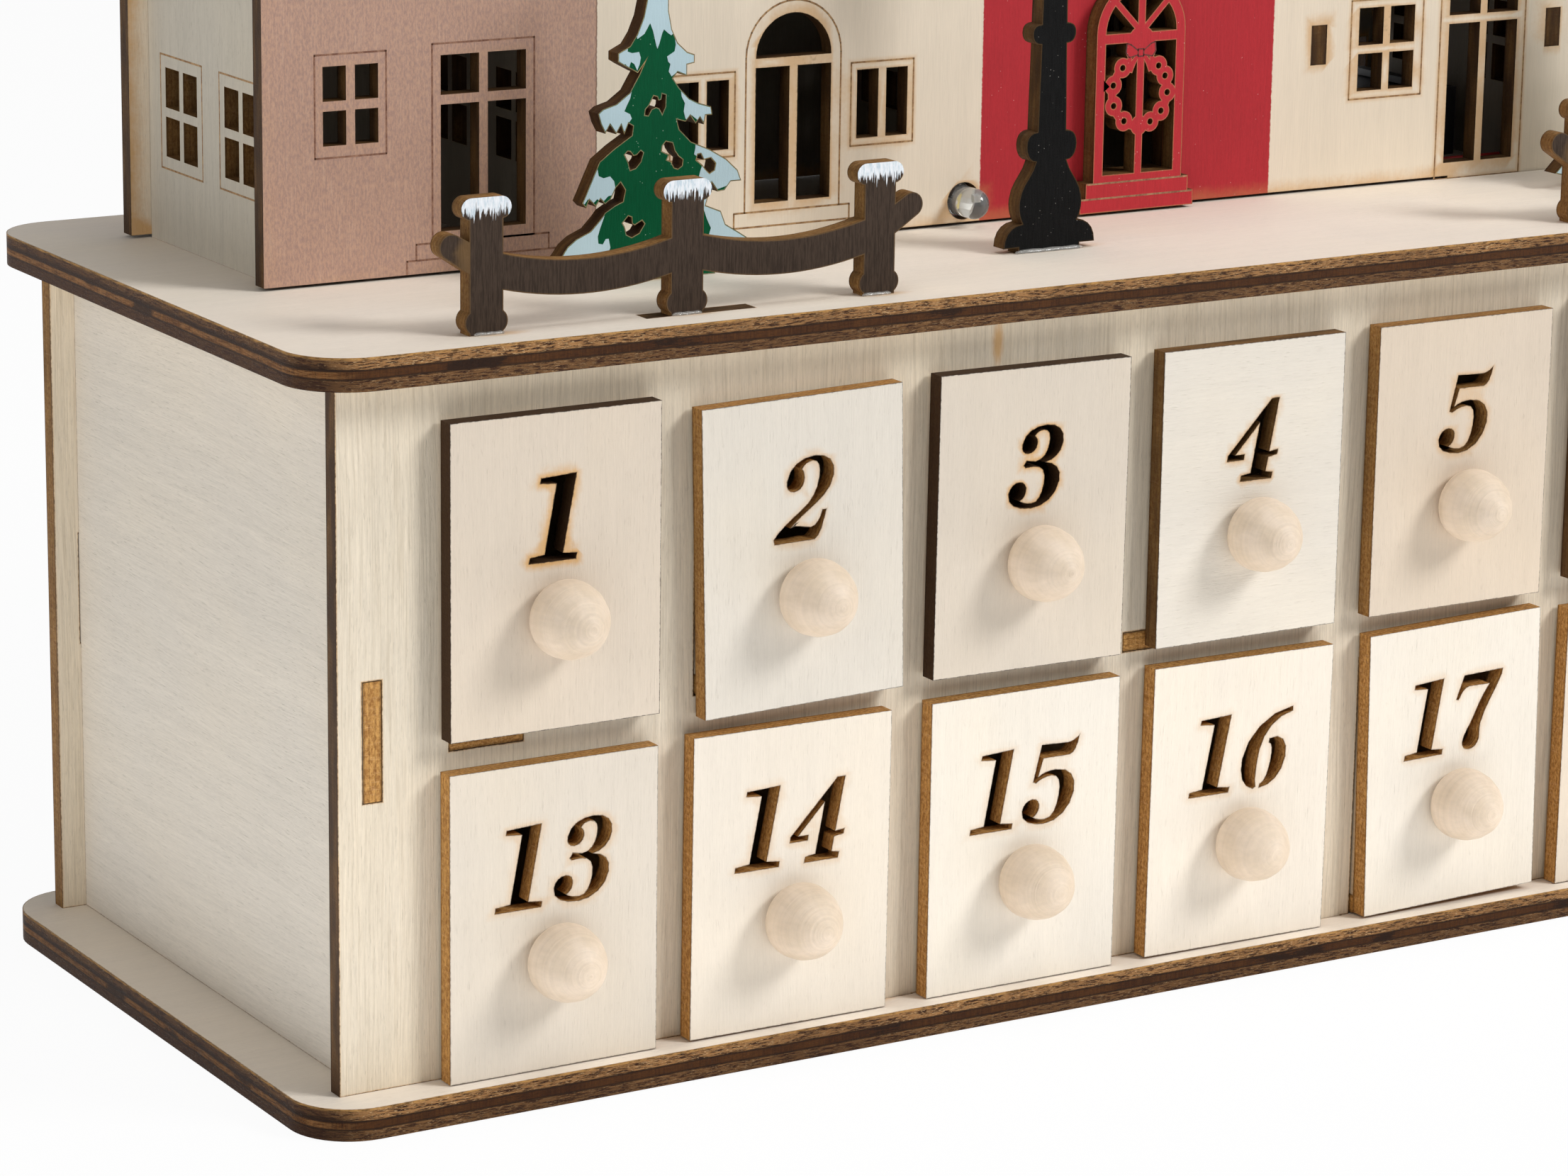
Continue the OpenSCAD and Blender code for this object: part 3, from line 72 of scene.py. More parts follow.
# Distance of a fence's outer posts from its ends
POST_INSET = 8 * MM
# Solids up to this thickness are boards
THICKEST_BOARD = 5.2 * MM
# A face is one of a board's two flat sides where its normal leans this much toward their axis
FLAT = 0.7
# Points closer than this are one, in metres
WELD = 1e-6

# Widths of the four kinds of house, from the left: brown, arched, red and plain
HOUSE_WIDTHS = [57 * MM, 71.3 * MM, 58 * MM, 69.1 * MM]
HOUSE_STARTS = [sum(HOUSE_WIDTHS[:index]) for index in range(4)]
STREET_REPEAT = sum(HOUSE_WIDTHS)

# Frames engraved round the windows, in millimetres: middle from the house's left and above the lid, width, height
BROWN_FRAMES = [(14.7, 27.45, 12, 15.7), (14.7, 56, 12, 15.7), (42.3, 56, 12, 15.7), (28.5, 80, 12, 15.7),
                (37.3, 20.45, 17.6, 30.7)]
ARCHED_FRAMES = [(19.05, 21.3, 11.75, 13.4), (52.25, 21.3, 11.75, 13.4), (19.05, 51, 11.75, 13.4),
                 (52.25, 51, 11.75, 13.4), (35.65, 68, 15.2, 16.8)]
RED_FRAMES = [(15, 56, 15.2, 16.8), (43, 56, 15.2, 16.8), (29, 80, 12, 15.7)]
PLAIN_FRAMES = [(25.55, 56, 11.75, 13.4), (43.55, 56, 11.75, 13.4), (23.75, 23.6, 15.2, 16.8),
                (44.35, 18.2, 18.3, 36.4)]

# Snow on the left tree: outlines in millimetres from the tree's axis and its foot
SNOW_OUTLINES = [
    [(-4, 53), (-4, 43), (-3.9, 38.6), (-3.6, 37.3), (-2.4, 38), (-1.4, 39.6), (-0.9, 38.4),
     (-0.3, 36.1), (-0.1, 35.6), (0.2, 36.3), (0.7, 37.9), (1, 38.5), (1.7, 37.9), (2.3, 37.5), (3, 38),
     (3.5, 45), (3, 53)],
    [(2.9, 38), (2.9, 37.4), (3.1, 36), (2.9, 35), (1.6, 34.3), (1.8, 33.5), (2.2, 33.1), (1.9, 32),
     (2.4, 31.2), (3.2, 31.7), (5.4, 30.5), (8.5, 33.2), (8, 36.5), (4.5, 38)],
    [(-6.6, 36.6), (-5.2, 36.2), (-5.3, 35.5), (-4.5, 35.2), (-3.3, 35.3), (-3, 34.4), (-3.2, 33.4),
     (-3.6, 32.5), (-4.1, 33.5), (-4.7, 33.9), (-5.1, 32.8), (-5.6, 33.6), (-7.4, 33.2), (-9, 34.6), (-8, 36.4)],
    [(-4.5, 29.6), (-4.8, 28.3), (-5.3, 27.4), (-5.8, 26.4), (-4.8, 25.9), (-4.5, 25.2), (-5.2, 24.4),
     (-5.6, 23.2), (-6.3, 24.1), (-7.1, 23), (-8.2, 24.6), (-9.1, 23.6), (-12.5, 26), (-10.2, 28.6), (-6, 29.4)],
    [(4, 29.6), (4.2, 28), (4.8, 26.9), (4.6, 25.7), (4.9, 24.6), (5.4, 24), (6, 25), (7, 24.2), (7.8, 24.3),
     (8.5, 23.2), (10.5, 25), (10.5, 26.7), (7, 28.6)],
    [(-10.5, 19), (-10.4, 17.9), (-10.2, 16.8), (-9.3, 16.4), (-8.2, 16.6), (-7.5, 15.8), (-7.3, 14.8),
     (-7.6, 13.7), (-8.5, 13.6), (-9.6, 12.6), (-10.4, 13.3), (-11.2, 12.6), (-12, 13.4), (-13.5, 11.6),
     (-15, 14), (-12, 18)],
    [(6.8, 21.4), (6.7, 19.8), (6.5, 18.9), (7.4, 18.3), (8, 17.2), (7.6, 16.2), (7.4, 15.4), (8.1, 14.9),
     (9.4, 14.5), (10.4, 13.1), (12.4, 13.6), (15.5, 13.6), (15.3, 16), (12, 19), (8, 21.4)],
    [(-8.8, 11.6), (-9.3, 10.2), (-9.9, 8.7), (-10.3, 7.5), (-10.2, 6.4), (-9.4, 6.2), (-8.9, 7), (-8.4, 7),
     (-8.1, 5.6), (-8.7, 4.3), (-10.2, 3.7), (-11.6, 2.9), (-13, 2.4), (-15.5, 1.9), (-19.5, 1.6), (-19.5, 5),
     (-12, 11)],
    [(7.7, 11.6), (8.3, 10.2), (8.9, 8.6), (9.6, 7.2), (9.2, 6), (10.4, 5.2), (11.3, 4.3), (12.8, 3),
     (15.2, 2), (19.5, 1.8), (19.5, 4), (12, 10), (9, 12)],
]


# Shaders


class Socket:
    """Output of a shader node, so that shader maths can be written as Python expressions."""

    def __init__(self, finish, link):
        self.finish = finish
        self.link = link

    def math(self, operation, *values):
        return self.finish.node("ShaderNodeMath", {"operation": operation}, dict(enumerate(values)))

    def __add__(self, other):
        return self.math("ADD", self, other)

    def __radd__(self, other):
        return self.math("ADD", other, self)

    def __sub__(self, other):
        return self.math("SUBTRACT", self, other)

    def __rsub__(self, other):
        return self.math("SUBTRACT", other, self)

    def __mul__(self, other):
        return self.math("MULTIPLY", self, other)

    def __rmul__(self, other):
        return self.math("MULTIPLY", other, self)

    def __truediv__(self, other):
        return self.math("DIVIDE", self, other)

    def __pow__(self, other):
        return self.math("POWER", self, other)

    def __abs__(self):
        return self.math("ABSOLUTE", self)

    def wrap(self, length):
        return self.math("WRAP", self, length, 0.0)

    def most(self, other):
        return self.math("MAXIMUM", self, other)

    def least(self, other):
        return self.math("MINIMUM", self, other)

    def rise(self, low, high):
        """0 below low and 1 above high, with a smooth step between them."""
        return self.finish.node("ShaderNodeMapRange", {"interpolation_type": "SMOOTHSTEP"},
                                {0: self, 1: low, 2: high, 3: 0.0, 4: 1.0})

    def between(self, low, high, soft):
        return self.rise(low - soft, low + soft) * (1 - self.rise(high - soft, high + soft))


class Finish:
    """Material, or world, of one kind of surface, written node by node."""

    def __init__(self, name, kind="materials"):
        self.owner = getattr(bpy.data, kind).new(name)
        self.owner.use_nodes = True
        self.tree = self.owner.node_tree
        self.tree.nodes.clear()

    def node(self, kind, options=None, inputs=None, output=0):
        """One of the outputs of a new node, or None for a node that has none."""
        made = self.tree.nodes.new(kind)
        for name, value in (options or {}).items():
            setattr(made, name, value)
        for name, value in (inputs or {}).items():
            if isinstance(value, Socket):
                self.tree.links.new(value.link, made.inputs[name])
            else:
                made.inputs[name].default_value = value
        return Socket(self, made.outputs[output]) if made.outputs else None

    def split(self, vector):
        return [self.node("ShaderNodeSeparateXYZ", None, {0: vector}, output) for output in range(3)]

    def read(self, name, output=1):
        """Attribute that a piece carries, as a vector, or as a number for output 2."""
        return self.node("ShaderNodeAttribute", {"attribute_name": name}, None, output)

    @functools.cached_property
    def board(self):
        """Places on a board in millimetres across and along its fibres, and 0 to 1 through its plies."""
        across, along, through = self.split(self.read("board"))
        return across * 1000, along * 1000, through

    @functools.cached_property
    def trace(self):
        """Heat of the cut, how dark the cut is, and a number that differs from board to board."""
        return self.split(self.read("trace"))

    @functools.cached_property
    def place(self):
        """Place in the object's frame, in millimetres."""
        return [value * 1000 for value in self.split(self.node("ShaderNodeTexCoord", None, None, 3))]

    def noise(self, x, y, z, detail=2.0, rough=0.5):
        place = self.node("ShaderNodeCombineXYZ", None, {0: x, 1: y, 2: z})
        return self.node("ShaderNodeTexNoise", None,
                         {"Vector": place, "Scale": 1.0, "Detail": detail, "Roughness": rough})

    def grain(self, wide, long, seed, detail=2.0, rough=0.5, lane=None):
        """Noise that changes wide times per millimetre across the fibres, or across a lane, and long along them."""
        across, along, _ = self.board
        return self.noise((lane or across) * wide, along * long, seed, detail, rough)

    def texture(self, scale, detail=2.0, rough=0.5):
        """Noise that is alike in every direction of the object's frame."""
        return self.noise(*[value * scale for value in self.place], detail, rough)

    def flecks(self, seed, patch_seed, low, high):
        """1 inside small round specks, in the patches where a coarse noise is between low and high or more."""
        across, along, _ = self.board
        place = self.node("ShaderNodeCombineXYZ", None, {0: across * 1.1, 1: along * 1.1, 2: seed})
        distance = self.node("ShaderNodeTexVoronoi", {"feature": "F1"}, {"Vector": place, "Scale": 1.0})
        return (1 - distance.rise(0.066, 0.11)) * self.grain(0.3, 0.3, patch_seed, 1.0).rise(low, high)

    def mix(self, share, first, second):
        return self.node("ShaderNodeMix", {"data_type": "RGBA"}, {0: share, 6: rgba(first), 7: rgba(second)}, 2)

    def coats(self, colour, *coats):
        """Colour under coats that each give their share and their own colour."""
        for share, coat in coats:
            colour = self.mix(share, colour, coat)
        return colour

    def lit(self, colour, factor):
        """Colour made lighter or darker by a factor."""
        if not isinstance(colour, Socket):
            colour = tuple(colour)[:3]
        return self.node("ShaderNodeVectorMath", {"operation": "SCALE"}, {0: colour, 3: factor})

    def surface(self, colour, roughness, height=None, depth=0.03, **constants):
        """Ends the material in one Principled shader. Height goes through a bump of depth millimetres."""
        inputs = {"Base Color": rgba(colour), "Roughness": roughness}
        if height is not None:
            inputs["Normal"] = self.node("ShaderNodeBump", None,
                                         {"Height": height, "Strength": 1.0, "Distance": depth * MM})
        inputs.update({name.replace("_", " "): value for name, value in constants.items()})
        return self.end(self.node("ShaderNodeBsdfPrincipled", None, inputs))

    def end(self, shader, kind="ShaderNodeOutputMaterial"):
        self.node(kind, None, {0: shader})
        return self.owner


def rgba(colour):
    if isinstance(colour, Socket):
        return colour
    return tuple(colour)[:3] + (1.0,)


def uneven(*parts):
    """1, made more or less by each noise times its share."""
    return sum(((noise - 0.5) * share for noise, share in parts), 1)


def scorched(finish, colour, strength=1.0):
    """Colour with a burnt line along the cut and a patchy amber stain beside it."""
    paint = settings().colours
    heat, char, spot = finish.trace
    # 1 at a cut, falling to 0 where its smoke no longer reached
    stain = finish.read("stain", 2)
    rough = finish.grain(1.6, 1.6, spot * 40, 3.0)
    patch = finish.grain(0.16, 0.16, spot * 40 + 7)
    halo = (stain * (0.35 + patch * 1.3) + (rough - 0.5) * 0.35).rise(0.1, 1.0)
    line = (heat.most((stain - 0.8) * 5) + (rough - 0.5) * 0.9).rise(0.45, 1.05)
    return finish.coats(colour, (halo * (0.2 + char * 0.72) * strength, paint.halo),
                        (line * (0.62 + char * 0.34) * strength, paint.char))


def bare_ply(name, fibre=1.0, coarse=1.0, cloudy=1.0, lines=0.0, spots=(), shade=None):
    """Sanded veneer with fine fibres, short pores, soft clouds and, where wanted, dark lines of grain.

    Spots are amber marks of glue or smoke: two axes, the middle and the half size on each, and how strong.
    Shade is painted shade: it darkens the veneer between two places across, where a room encloses it.
    """
    finish = Finish(name)
    paint = settings().colours
    heat, _, spot = finish.trace
    shift = spot * 60
    wander = (finish.grain(0.04, 0.012, shift, 1.0) - 0.5) * 5
    grain = functools.partial(finish.grain, lane=finish.board[0] + wander)
    fine = grain(3.4 / coarse, 0.14, shift, 3.0, 0.6)
    short = grain(4.6, 0.8, shift + 7, 2.0, 0.6)
    bands = grain(0.42, 0.012, shift + 9, 3.0, 0.6)
    cloud = grain(0.045, 0.03, shift + 21)
    pores = grain(5.2, 0.42, shift + 33, 2.0, 0.7).rise(0.6, 0.74)
    light = uneven((fine, 0.24 * fibre), (bands, 0.13 * fibre), (cloud, 0.14 * cloudy), (short, 0.12 * fibre))
    yellow = finish.mix(((cloud - 0.42) * 1.6 * cloudy).least(0.5).most(0.0), (1.0, 1.0, 1.0), (1.0, 0.97, 0.91))
    colour = finish.node("ShaderNodeVectorMath", {"operation": "MULTIPLY"}, {0: finish.read("tone"), 1: yellow})
    colour = finish.lit(colour, light - pores * 0.09 * fibre)
    if shade:
        # Painted shade: the veneer is darkened between two places across, inside the rooms
        left, right, dim = shade
        colour = finish.lit(colour, 1 - finish.place[0].between(left, right, 0.2) * (1 - dim))
    if lines:
        colour = finish.mix(grain(3.6, 0.05, shift + 45, 3.0, 0.75).rise(0.44, 0.74) * lines, colour, paint.grain)
    for first, second, middle, other, half, reach, strong in spots:
        a, b = (finish.place[first] - middle) / half, (finish.place[second] - other) / reach
        away = (a * a + b * b) ** 0.5 + (short - 0.5) * 0.5 + (cloud - 0.5) * 0.6
        colour = finish.mix((1 - away.rise(0.25, 1.1)) * strong, colour, paint.halo)
    roughness = 0.64 + (fine - 0.5) * 0.2 + heat * 0.1
    return finish.surface(scorched(finish, colour), roughness, fine + short * 0.5 - pores * 0.6, 0.05,
                          Specular_IOR_Level=0.35)


def thin_edge(name):
    """Laser-cut edge of a thin board: golden brown where the cut was clean, nearly black where it was hot."""
    finish = Finish(name)
    paint = settings().colours
    through = finish.board[2]
    _, char, spot = finish.trace
    streak = finish.grain(1.5, 1.5, through * 9 + spot * 20, 3.0, 0.65)
    upright = finish.grain(3.4, 3.4, through * 1.1 + spot * 20, 2.0, 0.7)
    patch = finish.grain(0.09, 0.09, through * 1.5 + spot * 50)
    outer = 1 - through.between(0.09, 0.91, 0.07)
    seam = through.between(0.31, 0.37, 0.02) + through.between(0.63, 0.69, 0.02)
    burnt = (char * 1.4 + (patch - 0.5) * 0.6 - 0.3 + (streak - 0.5) * 0.3).most(0.0).least(0.95)
    # The glint colour paints highlights as light specks along the upright fibres
    colour = finish.coats(paint.edge_brown, (streak.rise(0.3, 0.7), paint.edge_gold),
                          (upright.rise(0.52, 0.8) * 0.45, paint.edge_painted_glint),
                          (seam * 0.25 + outer * 0.5, paint.edge_dark), (burnt, paint.char))
    return finish.surface(colour, 0.62, streak + upright * 0.6, 0.08, Specular_IOR_Level=0.12)


def deck_edge(name):
    """Edge of the thick boards: burnt plies with painted glints, dark seams, and a rust-brown core with black
    patches.
    """
    finish = Finish(name)
    paint = settings().colours
    through = finish.board[2]
    wave = (finish.grain(0.05, 0.05, 3.0, 1.0) - 0.5) * 0.08
    depth = through + wave * through * (1 - through) * 4
    core = depth.between(0.36, 0.62, 0.02)
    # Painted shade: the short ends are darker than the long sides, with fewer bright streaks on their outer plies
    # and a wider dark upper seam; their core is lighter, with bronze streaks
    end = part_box("top_plate")[1].x / MM
    ends = abs(finish.place[0]).rise(end - 9, end - 1)
    seam = depth.between(0.32, 0.385, 0.025) + depth.between(0.59, 0.65, 0.025)
    seam = seam + ends * depth.between(0.57, 0.74, 0.04) * 0.8
    streak = finish.grain(0.45, 0.45, through * 22, 3.0, 0.7)
    # Glints are painted highlights: lighter specks in the colour, where the roughness is also lower
    glint = finish.grain(1.5, 1.5, through * 34 + 9, 2.0, 0.7).rise(0.54, 0.66)
    worn = finish.grain(0.03, 0.03, 31.0).rise(0.35, 0.65)
    low = 1 - depth.rise(0.25, 0.4)
    # Bright streaks fade on the bottom ply, and on the short ends as painted shade
    bright = (1 - low * 0.6) * (1 - ends * 0.75)
    outer = finish.coats(paint.edge_dark,
                         (streak.rise(0.4, 0.56) * (0.65 + worn * 0.35) * bright, paint.edge_bronze),
                         (glint * (0.25 + worn * 0.6) * bright, paint.edge_painted_glint),
                         (through.rise(0.9, 0.97) * (0.2 + streak.rise(0.4, 0.6) * 0.5), paint.edge_gold))
    upright = finish.grain(3.0, 3.0, through * 1.4, 2.0, 0.7)
    cloud = finish.grain(0.12, 0.12, 5.0)
    rust = (upright * 0.6 + cloud * 0.5).rise(0.35, 0.75) * (0.3 + ends * 0.7)
    burnt = finish.grain(0.07, 0.07, through * 0.6 + 17.0, 1.0) + (upright - 0.5) * 0.12
    burnt = (burnt + (streak - 0.5) * 0.2).rise(0.62, 0.66)
    inner = finish.coats(paint.edge_core_dark, (rust, paint.edge_core),
                         (ends * streak.rise(0.4, 0.6) * 0.5, paint.edge_bronze), (burnt * 0.9, paint.char))
    colour = finish.coats(outer, (core, inner), ((seam * 0.9).least(0.95), paint.char))
    return finish.surface(colour, 0.6 - glint * 0.2, streak + upright * 0.5 + glint * 0.6, 0.12,
                          Specular_IOR_Level=0.1)


def painted(name, colour, speck=(0.6, 0.6, 0.6), speckle=0.3, roughness=0.55, grain=0.2, rim=0.6, dust=0.1,
            gloss=0.25, bare=None):
    """Paint on veneer, with its fibres showing through, small specks, and burnt or bare wood at the cut."""
    finish = Finish(name)
    heat, _, spot = finish.trace
    fine = finish.grain(3.6, 0.3, spot * 30, 3.0, 0.65)
    mottle = finish.grain(5, 4, spot * 30 + 5, 2.0, 0.7)
    cloud = finish.grain(0.08, 0.06, spot * 30 + 11)
    base = finish.lit(colour, uneven((fine, 2 * grain), (mottle, speckle), (cloud, 0.25)))
    base = finish.mix(finish.flecks(spot * 30, spot * 30 + 19, 0.5, 0.56) * dust, base, speck)
    if bare:
        worn = (heat + (mottle - 0.5) * 0.8).rise(0.3, 0.6) * (1 - (heat + (fine - 0.5) * 0.4).rise(0.75, 0.95))
        base = finish.mix(worn * 0.55, base, bare)
    return finish.surface(scorched(finish, base, rim), roughness, fine + mottle * 0.4, 0.05,
                          Specular_IOR_Level=gloss)


# Boards

# How a board is dressed: materials of its faces, its cuts and its other side, axis of the fibres, tone of the
# veneer, how dark its cuts are, which way its first side faces, and whether smoke stained it
Look = namedtuple("Look", "materials fibres tone char outward smoked", defaults=(1, True))


def merged(node):
    """Copy of a CAD node's mesh with its triangles joined to flat faces."""
    mesh = bmesh.new()
    mesh.from_mesh(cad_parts[node].data)
    bmesh.ops.remove_doubles(mesh, verts=mesh.verts, dist=WELD)
    bmesh.ops.dissolve_limit(mesh, angle_limit=math.radians(0.5), verts=mesh.verts, edges=mesh.edges)
    bmesh.ops.recalc_face_normals(mesh, faces=mesh.faces)
    return mesh


def solids(mesh):
    """Lists of the faces of each separate solid, from left to right."""
    for face in mesh.faces:
        face.tag = False
    found = []
    for start in mesh.faces:
        if start.tag:
            continue
        start.tag = True
        group, todo = [start], [start]
        while todo:
            for edge in todo.pop().edges:
                for face in edge.link_faces:
                    if not face.tag:
                        face.tag = True
                        group.append(face)
                        todo.append(face)
        found.append(group)
    return sorted(found, key=lambda group: tuple(round(v, 5) for v in extent(group)[0]))


def extent(faces):
    places = [vert.co for face in faces for vert in face.verts]
    low = Vector(min(p[axis] for p in places) for axis in range(3))
    high = Vector(max(p[axis] for p in places) for axis in range(3))
    return low, high


def is_board(low, high):
    return min(high - low) < THICKEST_BOARD


def cut_lines(faces, longest):
    """Points along the edges that part flat faces from the cut ones, but for the longest, cleanest cuts."""
    flat = set(faces)
    points = []
    for edge in dict.fromkeys(edge for face in faces for edge in face.edges):
        if edge.calc_length() < longest and any(face not in flat for face in edge.link_faces):
            steps = max(1, round(edge.calc_length() / (0.4 * MM)))
            start, end = (vert.co for vert in edge.verts)
            points += [start.lerp(end, step / steps) for step in range(steps + 1)]
    tree = kdtree.KDTree(len(points))
    for index, point in enumerate(points):
        tree.insert(point, index)
    tree.balance()
    return tree


def squares(mesh, faces, axis, step):
    """Faces cut at even steps along an axis, so that a stain can fade across them."""
    places = [vert.co[axis] for face in faces for vert in face.verts]
    place, high = min(places) + step, max(places)
    rest, done = list(faces), []
    while place < high:
        point, normal = Vector((0, 0, 0)), Vector((0, 0, 0))
        point[axis], normal[axis] = place, 1.0
        parts = rest + list(dict.fromkeys(edge for face in rest for edge in face.edges))
        parts += list(dict.fromkeys(vert for face in rest for vert in face.verts))
        cut = bmesh.ops.bisect_plane(mesh, geom=parts, dist=1e-7, plane_co=point, plane_no=normal)["geom"]
        found = [item for item in cut if isinstance(item, bmesh.types.BMFace)]
        rest = [face for face in found if max(vert.co[axis] for vert in face.verts) > place + WELD]
        kept = set(rest)
        done += [face for face in found if face not in kept]
        place += step
    return done + rest


def rimmed(mesh, faces, thin, rim, smoke, step, longest):
    """Flat faces of a board with a rim along its cuts, the cut faces, and the lines that smoke came from."""
    flat = [face for face in faces if abs(face.normal[thin]) > FLAT]
    cut = [face for face in faces if abs(face.normal[thin]) <= FLAT]
    lines = cut_lines(flat, longest * MM) if smoke else None
    ring = bmesh.ops.inset_region(mesh, faces=flat, thickness=rim * MM, use_even_offset=True,
                                  use_boundary=True)["faces"]
    if lines:
        for axis in {0, 1, 2} - {thin}:
            flat = squares(mesh, flat, axis, step * MM)
    return flat + ring, cut, lines


def assign(flat, cut, plan, thin, slots):
    """Materials of a solid's faces. A turned solid, which has no cuts, is smooth all over."""
    for face in cut:
        face.material_index = slots.index(plan.materials[1])
        face.smooth = True
    for face in flat:
        other = len(plan.materials) > 2 and face.normal[thin] * plan.outward < -FLAT
        face.material_index = slots.index(plan.materials[2 if other else 0])
        face.smooth = not cut


def board_axes(fibres, thin):
    """Axes across and along the fibres of a board, or just its two axes where the fibres would run through it."""
    across = 3 - fibres - thin
    if across == fibres or across not in range(3):
        return [axis for axis in range(3) if axis != thin]
    return across, fibres


def dress(node, look, rim, body="case", smoke=0.0, step=1.7, longest=1000.0):
    """Board piece in place of a CAD node, dressed in one look or in what look(low, high) says of each solid.

    Rim is the width of the burnt line and smoke that of the stain beside it, in millimetres. Step is the size
    of the squares that carry the stain, and a cut of the longest length or more has none.
    """
    mesh = merged(node)
    board, trace, tone = [mesh.verts.layers.float_vector.new(name) for name in ("board", "trace", "tone")]
    stain = mesh.verts.layers.float.new("stain")
    slots = []
    chance = random.Random(node)
    for faces in solids(mesh):
        low, high = extent(faces)
        plan = look if isinstance(look, Look) else look(low, high)
        thin = min(range(3), key=lambda axis: high[axis] - low[axis])
        flat, cut, lines = faces, [], None
        if is_board(low, high):
            flat, cut, lines = rimmed(mesh, faces, thin, rim, smoke if plan.smoked else 0.0, step, longest)
        slots += [material for material in dict.fromkeys(plan.materials) if material not in slots]
        assign(flat, cut, plan, thin, slots)
        across, along = board_axes(plan.fibres, thin)
        shift = [chance.random() for _ in range(3)]
        middle, inside = (low + high) / 2, set(flat)
        for vert in {vert for face in cut + flat for vert in face.verts}:
            at_cut = float(any(face not in inside for face in vert.link_faces))
            vert[trace] = (at_cut, plan.char, shift[2])
            vert[tone] = plan.tone
            vert[stain] = max(0.0, 1 - lines.find(vert.co)[2] / (smoke * MM)) if lines else at_cut
            if cut:
                through = (vert.co[thin] - low[thin]) / (high[thin] - low[thin])
                vert[board] = (vert.co[across] + shift[0], vert.co[along] + shift[1], through)
            else:
                vert[board] = (vert.co.x - middle.x, vert.co.z - middle.z, vert.co.y - low.y)
    piece = finished(mesh, node + "_wood", slots)
    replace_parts(piece, node)
    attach(piece, body)


def figure(node, coat, char):
    """Painted board that stands on the lid or against a house."""
    dress(node, Look((coat, cut_edge()), UP, (1, 1, 1), char), settings().sizes.detail_rim / MM)


def finished(mesh, name, materials, body=None, sharp=35):
    """Object of a mesh, with an edge kept sharp where its faces turn by more than sharp degrees."""
    for edge in mesh.edges:
        if len(edge.link_faces) == 2:
            edge.smooth = edge.calc_face_angle(0.0) < math.radians(sharp)
    data = bpy.data.meshes.new(name)
    mesh.to_mesh(data)
    mesh.free()
    for material in materials:
        data.materials.append(material)
    piece = bpy.data.objects.new(name, data)
    bpy.context.scene.collection.objects.link(piece)
    if body:
        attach(piece, body)
    return piece


def block(mesh, low, high):
    """Box between two corners."""
    low, high = Vector(low), Vector(high)
    size = Matrix.Diagonal((high - low).to_4d())
    size[3][3] = 1.0
    bmesh.ops.create_cube(mesh, size=1.0, matrix=Matrix.Translation((low + high) / 2) @ size)


def turned(mesh, profile, place, axis, steps):
    """Solid of revolution: its profile gives distances from the axis and along it."""
    side = Vector(axis).orthogonal().normalized()
    axis = Vector(axis).normalized()
    verts = [mesh.verts.new(Vector(place) + side * r + axis * h) for r, h in profile]
    edges = [mesh.edges.new(pair) for pair in zip(verts, verts[1:])]
    bmesh.ops.spin(mesh, geom=verts + edges, cent=place, axis=axis, dvec=(0, 0, 0), angle=math.tau, steps=steps,
                   use_merge=True)
    bmesh.ops.remove_doubles(mesh, verts=mesh.verts, dist=WELD)


def coloured(colour, light=1.0):
    return tuple(value * light for value in tuple(colour)[:3])


def thicken(mesh, faces, depth):
    """Give flat faces a thickness along y."""
    made = bmesh.ops.extrude_face_region(mesh, geom=faces, use_keep_orig=True)["geom"]
    moved = [item for item in made if isinstance(item, bmesh.types.BMVert)]
    bmesh.ops.translate(mesh, verts=moved, vec=(0, depth, 0))
    bmesh.ops.recalc_face_normals(mesh, faces=mesh.faces)


def rounded(mesh):
    """Turn every face outward and shade it smooth."""
    bmesh.ops.recalc_face_normals(mesh, faces=mesh.faces)
    for face in mesh.faces:
        face.smooth = True


def post_places(side):
    """Places along x of a fence's three posts."""
    low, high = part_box("fence_" + side)
    return low.x + POST_INSET, (low.x + high.x) / 2, high.x - POST_INSET


# Settings


def colour_property(name, description, value):
    return bpy.props.FloatVectorProperty(name=name, description=description, subtype="COLOR", size=3,
                                         min=0.0, max=1.0, default=value)


def length_property(name, description, millimetres):
    return bpy.props.FloatProperty(name=name, description=description, unit="LENGTH", min=0.0,
                                   default=millimetres * MM)


def power_property(name, description, watts):
    return bpy.props.FloatProperty(name=name, description=description, unit="POWER", min=0.0, default=watts)


